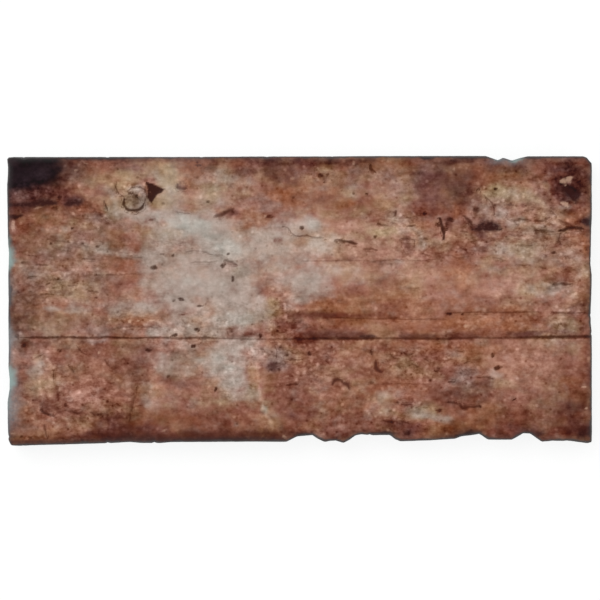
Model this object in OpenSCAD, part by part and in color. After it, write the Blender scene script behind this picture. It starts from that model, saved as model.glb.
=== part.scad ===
// Ceramic wall tile with an aged-brick face, lying on its back.
// One pressed and fired slab: a flat face with a rounded, worn and chipped rim,
// a bevelled back edge, and a keyed back of shallow pockets between ribs.
// Millimetres. The origin is at the middle of the back, +X along the length,
// +Y across it, +Z out of the face.

/* [Tile] */
// Length of the tile, along X
tile_length = 200; // [90:1:400]
// Width of the tile, along Y
tile_width = 99.2; // [50:0.1:300]
// Thickness, from the ribs of the back to the face
tile_thickness = 10; // [6:0.5:16]

/* [Edges] */
// Depth of the worn rim and its chips: 1 as on an aged tile, near 0 as on a new one
edge_wear = 1; // [0.1:0.1:1.5]
// Height of the rounded arris around the face
arris_height = 1.2; // [0.4:0.1:2]
// How far the arris comes in over its height
arris_inset = 0.9; // [0.3:0.1:1.5]
// Height of the bevel around the back
bevel_height = 1.5; // [0.5:0.1:3]
// How far the bevel comes in at the back
bevel_inset = 0.8; // [0.3:0.1:1.5]

/* [Back] */
// Plain border between the side of the tile and its pockets
back_border = 9; // [9:0.5:16]
// Width of the ribs between the pockets
rib_width = 2.5; // [1.5:0.5:5]
// Side of a pocket, before the row of them is spread out to fill its field
pocket_side = 12.5; // [8:0.5:20]
// Depth of the pockets
pocket_depth = 0.6; // [0.3:0.1:1.5]

/* [Hidden] */

// Straight steps that the quarter round of the arris is made of
ARRIS_STEPS = 4;
// How far the lofted skin runs past the flats that trim it, and a pocket's cutter below the back
PAST = 1;

// The worn rim, side by side. Each point is [place along the side from 0 to 1,
// depth of the wear there in mm]. The back and front sides run from left to
// right, the left and right sides from back to front.
BACK_SIDE = [
    [0.003, 0.55], [0.012, 0.38], [0.33, 0.33], [0.43, 0.19], [0.56, 0.16], [0.61, 0.05],
    // a pair of V-shaped chips
    [0.818, 0], [0.825, 0.5], [0.839, 1.45], [0.848, 0.6], [0.863, 1.58], [0.878, 0.65], [0.89, 0.12],
    [0.985, 0.12], [0.991, 0.6], [0.995, 1.6]
];
RIGHT_SIDE = [
    [0.0255, 0.12], [0.04, 0.03], [0.215, 0.03], [0.25, 0.22], [0.33, 0.38], [0.372, 0.52],
    [0.412, 0.04], [0.445, 0.08], [0.54, 0.43], [0.575, 0.41], [0.61, 0.03], [0.95, 0], [0.982, 0.06]
];
FRONT_SIDE = [
    [0.008, 0.12], [0.02, 0], [0.045, 0.19], [0.12, 0.57], [0.18, 0.95], [0.21, 1.32], [0.229, 0.95],
    [0.262, 0.95], [0.28, 1.25], [0.42, 1.41], [0.477, 1.33],
    // a wide chip, a nick, and the widest chip
    [0.485, 2.1], [0.496, 3.2], [0.522, 3.64], [0.531, 2.4], [0.543, 1.3],
    [0.552, 1.7], [0.562, 1.78], [0.575, 0.95],
    [0.586, 2.1], [0.596, 3.6], [0.605, 3.92], [0.625, 3.62], [0.654, 3.7], [0.665, 2.0], [0.672, 1.53],
    [0.72, 1.82], [0.766, 2.4],
    // a sloping chip, then the deepest one
    [0.777, 3.25], [0.798, 3.75], [0.807, 4.07], [0.822, 2.1], [0.863, 2.07],
    [0.874, 3.3], [0.882, 4.3], [0.894, 4.2], [0.914, 1.38],
    [0.932, 1.72], [0.962, 1.65], [0.992, 0.9], [0.999, 1.25]
];
LEFT_SIDE = [
    [0.012, 0.02], [0.04, 0.29], [0.062, 0.26], [0.1, 0], [0.25, 0.2], [0.305, 0.33], [0.335, 0.62],
    [0.42, 0.37], [0.5, 0.49], [0.56, 0.39], [0.665, 0.55], [0.73, 0.42], [0.772, 0.85], [0.805, 0.78],
    [0.85, 0.1], [0.92, 0.2], [0.98, 0.45], [0.992, 1.0]
];

function reversed(list) = [for (i = [len(list) - 1:-1:0]) list[i]];
function deepest(side) = max([for (p = side) p[1]]);

// The four sides as one closed line, clockwise from above. inset moves the whole
// line in, and wear multiplies the depths of the worn points.
function across(side, inset, wear) =
    [for (p = side) [(p[0] - 0.5) * (tile_length - 2 * inset), tile_width / 2 - inset - p[1] * wear]];
function along(side, inset, wear) =
    [for (p = side) [tile_length / 2 - inset - p[1] * wear, (0.5 - p[0]) * (tile_width - 2 * inset)]];
function rim(inset, wear) = concat(
    across(BACK_SIDE, inset, wear),
    along(RIGHT_SIDE, inset, wear),
    reversed([for (p = across(FRONT_SIDE, inset, wear)) [p[0], -p[1]]]),
    reversed([for (p = along(LEFT_SIDE, inset, wear)) [-p[0], p[1]]])
);

// The slab's skin as rings from below the back to above the face, each
// [inset, wear, height]. The outermost rings close over clear of the deepest chip.
shoulder_z = tile_thickness - arris_height;
middle_inset = PAST + max(arris_inset, bevel_inset)
    + edge_wear * max([for (side = [BACK_SIDE, RIGHT_SIDE, FRONT_SIDE, LEFT_SIDE]) deepest(side)]);
RINGS = concat(
    [[middle_inset, 0, -PAST], [bevel_inset, edge_wear, -PAST]],
    [[bevel_inset, edge_wear, 0], [0, edge_wear, bevel_height]],
    [for (a = [0:90 / ARRIS_STEPS:90])
        [arris_inset * (1 - cos(a)), edge_wear, shoulder_z + arris_height * sin(a)]],
    [[arris_inset, edge_wear, tile_thickness + PAST], [middle_inset, 0, tile_thickness + PAST]]
);

// Pockets that fit into a field between the borders, and the side they get there
function field(size) = size - 2 * back_border;
function pocket_count(size) = floor((field(size) + rib_width) / (pocket_side + rib_width));
function fitted_side(size) = (field(size) - (pocket_count(size) - 1) * rib_width) / pocket_count(size);

// The lofted skin as a solid that is too tall at both ends
module blank() {
    count = len(rim(0, 0));
    last = len(RINGS) - 1;
    back_middle = count * len(RINGS);
    face_middle = back_middle + 1;
    polyhedron(
        points = concat(
            [for (r = RINGS, p = rim(r[0], r[1])) [p[0], p[1], r[2]]],
            [[0, 0, -PAST], [0, 0, tile_thickness + PAST]]
        ),
        faces = [
            for (k = [0:last - 1], i = [0:count - 1], upper = [false, true])
                let (j = (i + 1) % count, a = k * count + i, c = (k + 1) * count + j)
                    upper ? [a, c, a + count] : [a, c - count, c],
            for (i = [0:count - 1]) [back_middle, (i + 1) % count, i],
            for (i = [0:count - 1]) [face_middle, last * count + i, last * count + (i + 1) % count]
        ]
    );
}

// The blank trimmed to its flat back and flat face
module slab() {
    intersection() {
        blank();
        translate([-tile_length / 2 - PAST, -tile_width / 2 - PAST, 0])
            cube([tile_length + 2 * PAST, tile_width + 2 * PAST, tile_thickness]);
    }
}

// The grid of pockets in the back, which leaves the ribs standing
module pockets() {
    side_x = fitted_side(tile_length);
    side_y = fitted_side(tile_width);
    for (i = [0:pocket_count(tile_length) - 1], j = [0:pocket_count(tile_width) - 1])
        translate([
            -field(tile_length) / 2 + i * (side_x + rib_width),
            -field(tile_width) / 2 + j * (side_y + rib_width),
            -PAST
        ])
            cube([side_x, side_y, PAST + pocket_depth]);
}

module tile() {
    color("#8f6a58")
        difference() {
            slab();
            pockets();
        }
}

tile();
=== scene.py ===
"""Looks of a ceramic wall tile with an aged-brick face, built round its CAD slab.

The tile is one closed mesh. Its outline and its pockets are read from the CAD node,
and the worn face, the broken rim and the keyed back are modelled on top of them.

Lengths are millimetres until the mesh is made: X along the tile and Y across it, from
its middle, and Z up from its back. The sizes in the panel and the stage are in metres.
"""

import math

import bpy
import numpy as np
from bpy.props import FloatProperty, FloatVectorProperty, PointerProperty
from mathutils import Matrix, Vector, geometry


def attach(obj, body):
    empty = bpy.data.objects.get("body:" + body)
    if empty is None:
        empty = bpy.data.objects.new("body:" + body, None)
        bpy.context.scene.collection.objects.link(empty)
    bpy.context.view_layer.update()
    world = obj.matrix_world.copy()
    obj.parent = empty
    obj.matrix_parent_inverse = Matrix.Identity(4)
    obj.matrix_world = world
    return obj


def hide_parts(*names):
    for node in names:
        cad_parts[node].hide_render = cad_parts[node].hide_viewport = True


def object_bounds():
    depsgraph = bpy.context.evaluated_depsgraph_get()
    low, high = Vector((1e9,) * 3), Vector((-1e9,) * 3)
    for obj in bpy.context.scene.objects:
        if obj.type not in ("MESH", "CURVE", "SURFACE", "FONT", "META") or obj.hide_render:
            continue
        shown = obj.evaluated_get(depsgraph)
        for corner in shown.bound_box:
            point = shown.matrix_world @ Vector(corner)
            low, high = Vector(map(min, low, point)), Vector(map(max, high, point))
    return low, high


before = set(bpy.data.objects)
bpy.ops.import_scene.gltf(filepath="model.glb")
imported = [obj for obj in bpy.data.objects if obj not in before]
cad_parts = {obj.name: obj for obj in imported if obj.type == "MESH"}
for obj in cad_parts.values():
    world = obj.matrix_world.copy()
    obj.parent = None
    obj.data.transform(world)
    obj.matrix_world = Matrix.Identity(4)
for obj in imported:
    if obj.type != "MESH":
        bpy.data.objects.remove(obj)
CAD_LOW, CAD_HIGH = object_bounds()

bl_info = {
    "name": "Aged-brick wall tile",
    "version": (1, 0, 0),
    "blender": (4, 5, 0),
    "location": "3D View > Sidebar > Tile",
    "description": "Builds a glazed wall tile with a worn face, and a plain stage for it",
    "category": "Object",
}

MM = 0.001
LENGTH, WIDTH, THICKNESS = (CAD_HIGH - CAD_LOW) / MM
TILE_NAME = "aged_brick_tile"

# ---- marks on the face
# Soft pools on the clay glaze: x, y, half length, half width, strength in percent and, where one lies
# askew, its turn in degrees. The first nine kinds are colours.
# Old mortar's lime, and the chalk in its palest parts.
LIME = [
    (-48, 42, 2.6, 2, 40), (-25.6, 42.4, 3.6, 2.6, 40), (-63.6, 31.6, 2.6, 3.4, 40),
    (-63.4, 33.5, 1.6, 4, 35, 10), (-60.6, 30.6, 4, 1.6, 45), (-60, 34, 3, 3, 20), (-57, 38.4, 3, 1.4, 40),
    (-52.6, 30.5, 2.6, 3.6, 60), (-45, 36, 5, 5, 30), (20, 38, 4, 2.4, 20), (63, 34.6, 2.6, 3, 25, 40),
    (74, 37.4, 7, 3, 25), (90, 32.6, 2.6, 1.2, 40, -10), (-79, 24.6, 2.6, 1.5, 35),
    (-73.4, 18.6, 1.6, 1.6, 40), (-56.6, 29, 3, 1, 40), (-48, 30, 3, 1.4, 35), (-47, 26, 3, 2.4, 35),
    (-46, 22.6, 5, 2.6, 60), (-38, 27, 12.5, 3.6, 85, -4), (-32, 30, 3, 1.6, 40), (-31, 23, 9, 5, 75, -20),
    (-25, 18, 9, 5, 85, -10), (-11, 20.5, 8, 4.4, 75), (-5, 25, 5, 3, 60), (3.4, 25.8, 4.6, 3.2, 80),
    (6, 18.4, 6.5, 3, 55), (10, 21, 5, 3, 30), (30.6, 28.6, 3, 2, 15, 40), (34, 27, 3, 3, 25),
    (37.4, 23.8, 3.2, 1.2, 25), (42, 19.6, 1.6, 2.2, 35), (71, 29.4, 5, 3, 30), (72, 26, 2.6, 1.6, 25),
    (80, 24, 6, 3, 25), (-66, 17.6, 6, 1.5, 50, -8), (-58, 16, 5, 1.3, 40), (-51.8, 13, 3.4, 8, 55),
    (-41, 16.5, 11, 4.5, 55), (-30, 8, 16, 8, 75), (-8, 14, 8, 5, 60), (-4, 6.4, 4, 3, 50),
    (-1, 12, 6, 4, 10), (5, 15, 5, 3, 25), (13, 9, 8, 5, 28), (66, 10, 4, 2, 25), (73, 17, 9, 3, 35),
    (88, 13.6, 5, 3, 30), (97, 9, 3, 4.6, 15), (-85, -2.7, 3.6, 1, 55), (-82, -0.6, 4, 1.6, 30),
    (-77, -3, 3, 1.5, 75), (-70, -1, 6, 3, 30), (-57, -2.4, 8, 2.8, 50), (-51.5, -2.6, 3, 2, 50),
    (-43, 4, 9, 6, 65), (-40, -1, 6, 3, 30), (-37, -3, 5, 3, 30), (-22, 1, 7, 8, 75), (-22, -6, 10, 4.6, 50),
    (-15, 0, 3, 3, 30), (-12, -4, 3, 3, 30), (-3, 1, 4.5, 3.4, 40, 20), (3, 6, 6, 5.4, 75, -15),
    (84, 3.6, 6, 2.8, 45, 4), (-48, -10.6, 4, 1.5, 65), (-42, -8, 10, 4, 50), (-31, -10.5, 8, 2.4, 50),
    (-30, -17, 10, 4, 60), (-20, -14, 5, 3, 40), (-16, -14, 4, 2, 40), (-14, -16.4, 4, 3.4, 40),
    (88, -15.6, 8, 2.4, 10), (90, -7.6, 7, 3, 10), (-91, -23.4, 3.4, 2.4, 30), (-90.4, -23.6, 2.4, 3, 20),
    (-46, -22, 5, 4, 40), (-35, -22, 8, 3, 45), (-24.4, -22.4, 6.6, 6.4, 80), (-23.4, -29.6, 4.6, 3.8, 65),
    (53, -18, 3.6, 1.8, 35), (67, -25, 4, 1.8, 35), (-51.4, -33, 2.4, 5.5, 45), (-19, -32, 5, 2.6, 50),
    (-12.6, -36.6, 1.6, 1.3, 50, 30), (30, -33.4, 3.4, 2.6, 35), (39.5, -38, 4, 1.9, 35, -6),
    (47.6, -39.8, 5.6, 1.7, 45, -8),
]
CHALK = [
    (-41, 27.6, 8, 2.6, 40, -4), (-38, 24, 8, 4, 25), (-35.6, 25.2, 5.4, 2.6, 50, -12),
    (-29, 21, 4, 2, 35, -30), (-26, 20, 6, 4, 30, -20), (3.4, 26.4, 2.8, 1.8, 35), (-40, 7, 6, 2.4, 25),
    (-24.6, 17.4, 5, 2.8, 50, -8), (-29, 5, 5, 2.4, 25), (-21, -6, 6, 2.6, 40), (1.6, 4, 3, 3.4, 30),
    (-29, -21, 4, 3, 35), (-22, -24, 4, 5, 30), (-12, -36.4, 1.2, 0.8, 50),
]
LILAC = [
    (-85, 46, 4, 2, 30), (-82, 46, 5, 3, 30), (-79, 44, 4, 4, 30), (-74, 43, 5, 4, 40), (-30, 44, 22, 4, 30),
    (-5, 45, 6, 3, 25), (12, 44, 10, 5, 30), (26, 44, 8, 4, 30), (45, 45, 6, 3, 30), (47, 44, 6, 4, 30),
    (55, 45, 5, 3, 20), (73, 45, 6, 3, 30), (-96, 36, 3, 3, 45), (-94, 34, 4, 3, 30), (-92, 38, 8, 3, 40),
    (-58.6, 34, 3, 3, 35), (-56.4, 34.4, 3.6, 2.8, 60, 25), (-55, 36, 3, 8, 25), (-55, 35, 4, 3, 25),
    (-45, 34, 6, 4, 25), (-44, 35, 4, 4, 30), (-30, 35.6, 5, 3, 45), (-30, 33, 6, 2.4, 45),
    (-28, 41, 8, 4.4, 45), (-14, 33, 7, 3, 35), (-8, 33, 6, 3, 15), (2, 34, 7, 5, 30), (5, 35, 6, 4, 25),
    (19, 37, 5, 3, 15), (30, 38, 8, 4, 35), (37, 38, 5, 6, 35), (52, 37, 4, 4, 30), (54, 38, 4, 5, 30),
    (61, 31, 4, 4, 40), (66, 34, 6, 4, 45), (70, 38, 5, 3, 30), (85, 32, 4, 4, 30), (90.4, 34.6, 1.4, 1, 50),
    (92, 32, 3, 3, 30), (-72, 24, 14, 5, 30), (-70, 28.4, 5, 2, 40), (-62, 18, 6, 3, 30),
    (-60, 26, 6, 2, 35), (-20, 25, 5, 3, 35), (-15, 25, 5, 3, 30), (-6, 27, 8, 4, 25), (0, 22, 2.4, 1.6, 40),
    (6, 26, 6, 3, 25), (30, 29, 4, 2.6, 25), (37, 23.6, 3.6, 1.5, 30), (66, 20, 9, 4, 20),
    (71, 29, 5, 3.4, 10), (84, 22, 9, 5, 30), (-94, 10, 5, 4, 25), (-84, 12, 16, 10, 45),
    (-82, 17, 12, 5, 30), (-72, 7, 9, 5, 25), (-65, 15, 6, 3, 30), (31, 10.6, 4, 3, 25), (54, 16, 5, 3, 30),
    (80, 14, 9, 3, 40), (80, 17, 5, 3, 30), (88, 7.6, 4, 2, 30), (96, 12, 3, 6, 10), (-98.6, 6, 2, 7, 40),
    (-96, -2, 4, 5, 45), (-94, 5, 6, 6, 35), (-86, 4, 9, 4, 30), (-85, -6, 6, 3, 25), (-65, 5, 6, 6, 25),
    (-57, -2, 8, 3, 30), (-36, 6, 8, 6, 25), (-36, 3, 6, 4, 25), (-35, -6, 6, 3, 25), (-98, -14, 3.4, 7, 60),
    (-97, -12, 3, 4, 30), (-92, -16, 6, 5, 35), (-78, -9, 18, 4, 40), (-75, -15, 6, 3, 25),
    (-70, -13.6, 5, 0.7, 40), (-62, -10.4, 8, 1.6, 40), (-55, -15, 6, 3, 40), (-44, -15, 5, 3, 50),
    (98.6, -7, 1, 3, 30), (-86, -26, 9, 6, 10), (-57, -24, 4, 6, 50), (-36, -26, 9, 3, 30),
    (-11, -18, 5, 3, 50), (-8, -22, 4.6, 3, 60), (-6, -19, 5, 3, 40), (4, -26, 6, 5, 10), (10, -18, 6, 3, 5),
    (26, -22, 4, 4, 25), (56, -26, 4.6, 4, 50), (58, -29, 4, 5, 10), (-97.6, -34, 3, 7, 50),
    (-94, -36, 5, 5, 40), (-45, -35, 7, 4, 30), (7, -39, 4, 4, 30), (41, -38, 6, 2, 35), (51, -33, 4, 3, 30),
    (59, -31.6, 5, 2.4, 25), (92, -36, 6, 3, 35), (-95, -43, 5, 4, 40), (55, -45, 6, 2, 40),
]
TAN = [
    (-57.6, 43.2, 6, 2.2, 65), (-47, 44, 5, 3.4, 45), (-45, 44, 4, 5, 45), (-25.6, 42.6, 4, 2.6, 35),
    (8, 44.6, 3, 1, 50), (-68.6, 40.6, 4, 1.8, 55), (-64, 36, 2.6, 4, 40), (-64, 31, 3, 4, 50),
    (-61, 32.6, 6, 3.6, 60, 10), (-60, 39.6, 4, 3.6, 65), (-47, 33.4, 4.6, 2.4, 60), (-44.6, 39, 3, 5.4, 60),
    (-38, 32, 5, 2, 40), (-33, 36, 5, 4, 50), (-32, 30.6, 8, 1.2, 30), (-25, 36.6, 10, 3, 40),
    (15.6, 33.6, 2.6, 1.4, 50), (16, 31, 10, 3, 30), (18, 37.6, 5, 2.6, 25), (20, 36.6, 4, 2, 35),
    (37, 35, 3, 6, 45), (66, 35.6, 7, 4, 20), (70, 37.4, 8, 3, 60), (80, 33.4, 5, 2, 35, -20),
    (-88, 20, 8, 4, 25), (-78, 25, 8, 3, 30), (-53, 25, 4, 4, 30), (-52, 18, 2.4, 2, 40),
    (-47, 21.6, 5, 3, 40), (-46, 24, 6, 3, 35), (-42, 22, 6, 2, 35), (0, 30, 3, 1.6, 35), (10, 28, 5, 2, 30),
    (10, 20, 6, 4, 30), (28, 23.8, 4.4, 1.5, 60), (30, 18, 8, 5, 30), (32, 26, 6, 8, 25), (44, 20, 3, 3, 30),
    (76, 24, 6, 3, 30), (76, 18, 14, 10, 20), (80, 28, 10, 4, 30), (-80, 12, 18, 9, 20),
    (-20, 10, 2.4, 1.6, 85), (15, 17, 10, 6, 30), (24, 10, 8, 4, 30), (38, 8, 6, 3, 20),
    (68, 10, 8, 2.4, 25), (73, 17, 8, 3, 35), (84, 8, 10, 5, 30), (98.4, 10, 2.6, 4, 50), (-82, 5, 6, 4, 35),
    (-74, 3.6, 6, 3, 30), (-68, 1, 6, 4, 30), (-17, -5, 3, 3, 50), (-15, -5, 4, 4, 35), (-10, -3, 4, 3, 45),
    (-9, -1, 3, 2.4, 50, -40), (48, 6, 3, 2, 35), (76, 1, 9, 2, 30), (80, 4, 8, 3, 30), (-84, -8, 9, 4, 35),
    (-4, -14, 3, 3, 20), (28, -10, 9, 2, 10), (64, -15.6, 3, 2, 40), (82, -15, 8, 4, 25),
    (88, -16, 8, 2.4, 30), (90, -8, 6, 3, 45), (-90, -20, 3, 1.6, 35), (-88, -30, 6, 3, 30),
    (-88, -26, 6, 4, 30), (-16, -26, 2, 5, 50), (-16, -30, 2, 2.4, 40), (18, -22, 4, 3, 35),
    (37, -21, 4, 4, 40), (44, -25, 4, 3, 25), (70, -29, 5, 3, 30), (-45, -34, 5, 4, 30),
    (-28, -33, 8, 2.5, 35), (-20, -34, 7, 2.4, 40), (-15, -33, 4, 3, 35), (-12.2, -36.8, 1.4, 1, 50),
    (-10, -38, 3, 5, 30, 20), (20, -35, 9, 4, 35), (30, -34, 2.6, 3, 40), (33, -38.6, 4, 1, 40, -15),
    (43, -38, 6, 2.4, 60), (50, -40, 4, 2, 25), (-76, -42, 8, 2.6, 40),
]
SALMON = [
    (-66, 46.6, 6, 1.6, 50), (-72, 36.8, 4, 1.2, 40), (-34, 37, 5, 3, 25), (-14, 38, 5, 3, 30),
    (91, 41, 2.4, 1.8, 60), (-98, 25.6, 0.9, 2.8, 90), (-87, 20, 4, 3, 35), (14, 26, 8, 3, 50),
    (40, 26, 4, 1.6, 40), (84, 22, 5, 3, 30), (94, 23.6, 2.6, 1.4, 40), (-92, 14, 4, 4, 30),
    (-82, 12, 10, 3, 20), (-75, 15, 6, 4, 30), (-16, 7.6, 3, 3, 30), (-6, 10, 4, 3, 35), (-3, 16, 6, 4, 40),
    (-2, 12.6, 4, 3.4, 60), (22, 17, 9, 3, 30), (25, 14, 8, 4, 35), (26, 15, 6, 4, 30), (42, 8, 12, 5, 35),
    (80, 10, 6, 4, 35), (-95, 6, 3, 4, 50), (-90, 2, 8, 5, 25), (-86, 6, 5, 3, 25), (-74, 6, 4, 3, 30),
    (-61, 5, 5, 5, 35), (-25, 5, 5, 4, 30), (-15, 5, 4, 3, 30), (-13, 5, 2.6, 3, 50, -25),
    (-10, 2, 3, 2, 40, -20), (5, 5, 3, 4, 30), (58, 2, 14, 4, 40), (70, 5, 8, 4, 30), (72, -5.6, 7, 2.4, 50),
    (-88, -17, 6, 2, 40), (-86, -6.6, 5, 1.8, 30), (-78, -9, 6, 2, 25), (-38, -15, 8, 2, 35),
    (-35, -16, 6, 3, 30), (5, -16, 6, 3, 30), (76, -17, 12, 7, 55), (-97, -20, 2.6, 3, 50),
    (-87, -24, 4, 4, 30), (-86, -26, 4, 3, 30), (-72, -19, 6, 3, 35), (-72, -26, 7, 4, 50),
    (-66, -26, 9, 6, 35), (-64, -21, 8, 4, 50), (-56, -26, 5, 5, 30), (-43, -18, 5, 3, 30),
    (-34, -28, 8, 2.4, 30), (-28, -18, 3, 2, 35), (-2, -28, 5, 6, 25), (5, -22, 6, 6, 50),
    (8, -28, 6, 4, 50), (82, -24, 8, 5, 40), (84, -19, 5, 5, 30), (-88, -31.6, 4, 2, 40),
    (-76, -31.6, 4, 2.6, 70), (-72, -38, 2.4, 1.6, 40), (-69, -36, 2.4, 1.6, 70), (-65, -34, 6, 4, 35),
    (12, -33, 8, 3, 20), (76, -31, 8, 3, 30), (-76, -45, 5, 2, 30), (-75, -44, 5, 2, 35),
    (15, -44, 5, 2, 40),
]
AMBER = [
    (-69, 44.6, 4, 1.6, 35), (-47, 46, 3, 1.6, 30), (-36, 46, 4, 2, 70), (-36, 44, 3, 3, 50),
    (28, 46, 4, 2.6, 45), (82, 45.6, 4, 2, 40), (-5, 36, 5, 3.4, 85, -8), (2, 36, 5, 5, 40),
    (6, 31, 6, 2, 30), (9, 38, 7, 4, 30), (16, 33.4, 3, 1.8, 70), (16, 33, 3, 1.6, 60), (60, 41, 8, 4, 20),
    (98.4, 36, 1.2, 6, 40), (-90, 24, 6, 3, 30), (-17.6, 25.4, 2.4, 1.6, 70), (-14, 30, 8, 3, 30),
    (42, 25.6, 4, 2, 50), (53.6, 30, 1.6, 3, 50), (93, 28, 2.6, 2, 60), (95.4, 20, 3.6, 4, 50),
    (98.6, 18, 1.6, 4, 50), (-62, 11.6, 6, 3.4, 35), (54, 12, 4, 6, 50), (56, 7, 10, 5, 40),
    (-49, -5.6, 2.4, 1.4, 50), (-16, -6, 3, 2, 20), (-14, 5.6, 3, 2.4, 50, -40), (10, -1, 9, 2.6, 45),
    (20, -4, 16, 3, 40), (27, 1, 14, 3, 40), (48, -1, 12, 2.4, 40), (62, -2, 8, 2, 35), (70, -3, 8, 1.6, 40),
    (74, -6, 12, 3, 45), (-55.4, -7, 6, 1.4, 55), (14, -7, 10, 2, 55), (42, -15.6, 26, 2.4, 45),
    (46, -8, 26, 3.4, 50), (62, -7.6, 13, 2.6, 60), (-16.2, -26, 2, 5.6, 60), (40, -28, 10, 3, 30),
    (60, -18, 8, 4, 30), (94, -27, 5, 2, 45), (-94, -38, 4, 4, 30), (26, -33, 16, 5, 35),
    (41, -41.6, 4, 1.4, 25), (60, -39, 18, 4, 40), (-64, -44, 16, 4, 50), (-44, -42, 12, 4, 35),
    (35, -44, 4, 2, 35), (50, -44, 5, 2, 45), (92, -42, 5, 2, 40),
]
RUST = [
    (-47, 48.2, 16, 0.9, 50), (-26, 47, 6, 0.9, 40), (5, 47, 6, 1.4, 50), (-79, 30.4, 3, 1.4, 35),
    (43, 31.4, 6, 2, 75), (53, 22, 3, 4, 30), (-22, 12.4, 1.6, 0.9, 70, -20), (89.6, 7.6, 4, 2, 55),
    (-60, 5, 4, 3, 40), (-13.4, 3.6, 2.6, 3.4, 35), (-12.8, 4.6, 3, 2, 45, -40), (1, -4.8, 7, 1, 80),
    (8, 1.6, 5, 1.4, 35), (12, -5.2, 8, 0.9, 60), (34, -4.8, 16, 0.7, 40), (-94, -15.6, 2.6, 1.6, 60),
    (-22, -11.8, 3, 1, 50), (-16.6, -11.6, 2, 1.2, 70), (-12.6, -15, 2, 3, 30), (-2.6, -8.6, 6, 4.6, 85),
    (-1, -14.6, 5, 1.4, 50), (2, -13.4, 6, 1.4, 40), (25, -17, 4, 2, 35), (26, -13.4, 20, 0.8, 35),
    (54, -11.8, 6, 1.1, 60), (76, -11.6, 6, 1, 70), (-70, -18.4, 3.4, 1.6, 55), (-61, -22, 5, 2.6, 60),
    (-53.6, -21.6, 3, 2, 30), (92, -30, 6, 3, 40), (98.6, -22, 1.2, 8, 50), (-66, -31, 6, 4, 30),
    (1, -36, 5, 4, 30), (3, -33, 6, 5, 25), (34, -41.8, 6, 1.2, 70, -8), (42, -37, 5, 2, 15),
    (47, -33, 4, 2, 40), (62, -33.4, 3, 2, 50), (76, -39, 8, 3, 45), (81, -35, 4, 2.4, 30),
    (84, -38, 5, 4, 35), (96.4, -33, 2.6, 4, 50), (-98.6, -42, 1.6, 4, 50), (-74, -45, 6, 2.4, 35),
    (-64, -42, 6, 3, 45), (-51, -43, 6, 3, 50), (-24, -42.6, 18, 2.4, 30), (-4, -45, 6, 2, 30),
    (-4, -42, 3, 2, 35), (15, -45.6, 6, 2, 40), (40, -43.6, 4, 2, 50), (68, -43, 7, 3, 60),
    (87, -45, 12, 1.6, 60),
]
PLUM = [
    (-78, 44.6, 3.4, 4, 40), (-12, 45.4, 8, 3.6, 60), (-4, 47.4, 10, 1.4, 60), (-1.6, 43, 4, 3.6, 40),
    (14, 47.6, 9, 1.4, 60), (55, 43, 7, 4.6, 35), (56, 47.6, 12, 1.2, 60), (70, 45.6, 8, 2.4, 65),
    (87, 45.6, 10, 2.6, 55), (-98.6, 31, 1.8, 10, 45), (-94, 31.6, 7, 2, 50), (-92, 41, 11, 6.4, 95),
    (-92, 35, 8, 2.4, 70), (-85, 36, 6, 3, 35), (-77.4, 33.8, 3.4, 2, 85), (45.6, 41.4, 7, 4.6, 85, -15),
    (45.6, 34.4, 5, 3, 70), (57, 36, 4, 5, 60), (87.6, 38.6, 2, 2.8, 60), (92.4, 40.4, 5, 6.6, 100),
    (97.4, 37, 2, 6, 60), (-84, 30, 2.4, 1.6, 30), (-23.6, 30, 2.6, 1.5, 70, 20), (37, 19.8, 2.6, 1.6, 35),
    (50.6, 26.6, 2, 2.4, 60), (61.6, 22.6, 2.4, 1.6, 60), (64.4, 25.6, 5.4, 1.9, 70), (98, 27.4, 3, 2, 70),
    (38.2, 17.6, 1.6, 2, 25), (-97, 2, 2.6, 4, 40), (-93, -2, 7, 3, 50), (-90, 4.6, 5, 1.6, 35),
    (95, -2.4, 3.6, 2.4, 65), (96.6, -3, 1.6, 2, 35), (-97, -10.6, 3, 2, 40), (-52, -16.8, 2, 1.2, 60),
    (-7, -17.6, 4, 2, 40), (14, -11.6, 13, 1.3, 65), (42, -11.6, 7, 0.9, 50), (77, -11.3, 4, 1, 50),
    (84, -10.8, 13, 0.9, 60), (-55, -22, 3, 7, 35), (-9, -22.6, 3, 2, 60), (5, -26, 4, 4, 20),
    (59.4, -26.6, 1.6, 1.4, 30), (63.6, -29, 4, 3, 45), (-85, -36, 4.6, 2.4, 40), (-62.6, -38, 4, 2.6, 40),
    (0, -39.6, 8, 1.4, 45), (50, -33, 4, 3, 30), (60.6, -35, 4, 1.6, 25), (90, -35, 2, 1.6, 30),
    (92, -38.4, 7, 4, 45), (-70, -46.4, 16, 1.8, 60), (-66, -42, 5, 3, 50), (-61, -45, 6, 2.4, 60),
    (-52, -44.4, 15, 3, 50), (-24, -46, 20, 1.8, 65), (10, -45, 16, 1.4, 30), (36, -43.6, 6, 2.2, 60),
    (52, -44.4, 3, 1.4, 30), (77, -43.6, 6, 2, 55), (96.6, -43.6, 5.4, 3.2, 90),
]
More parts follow.
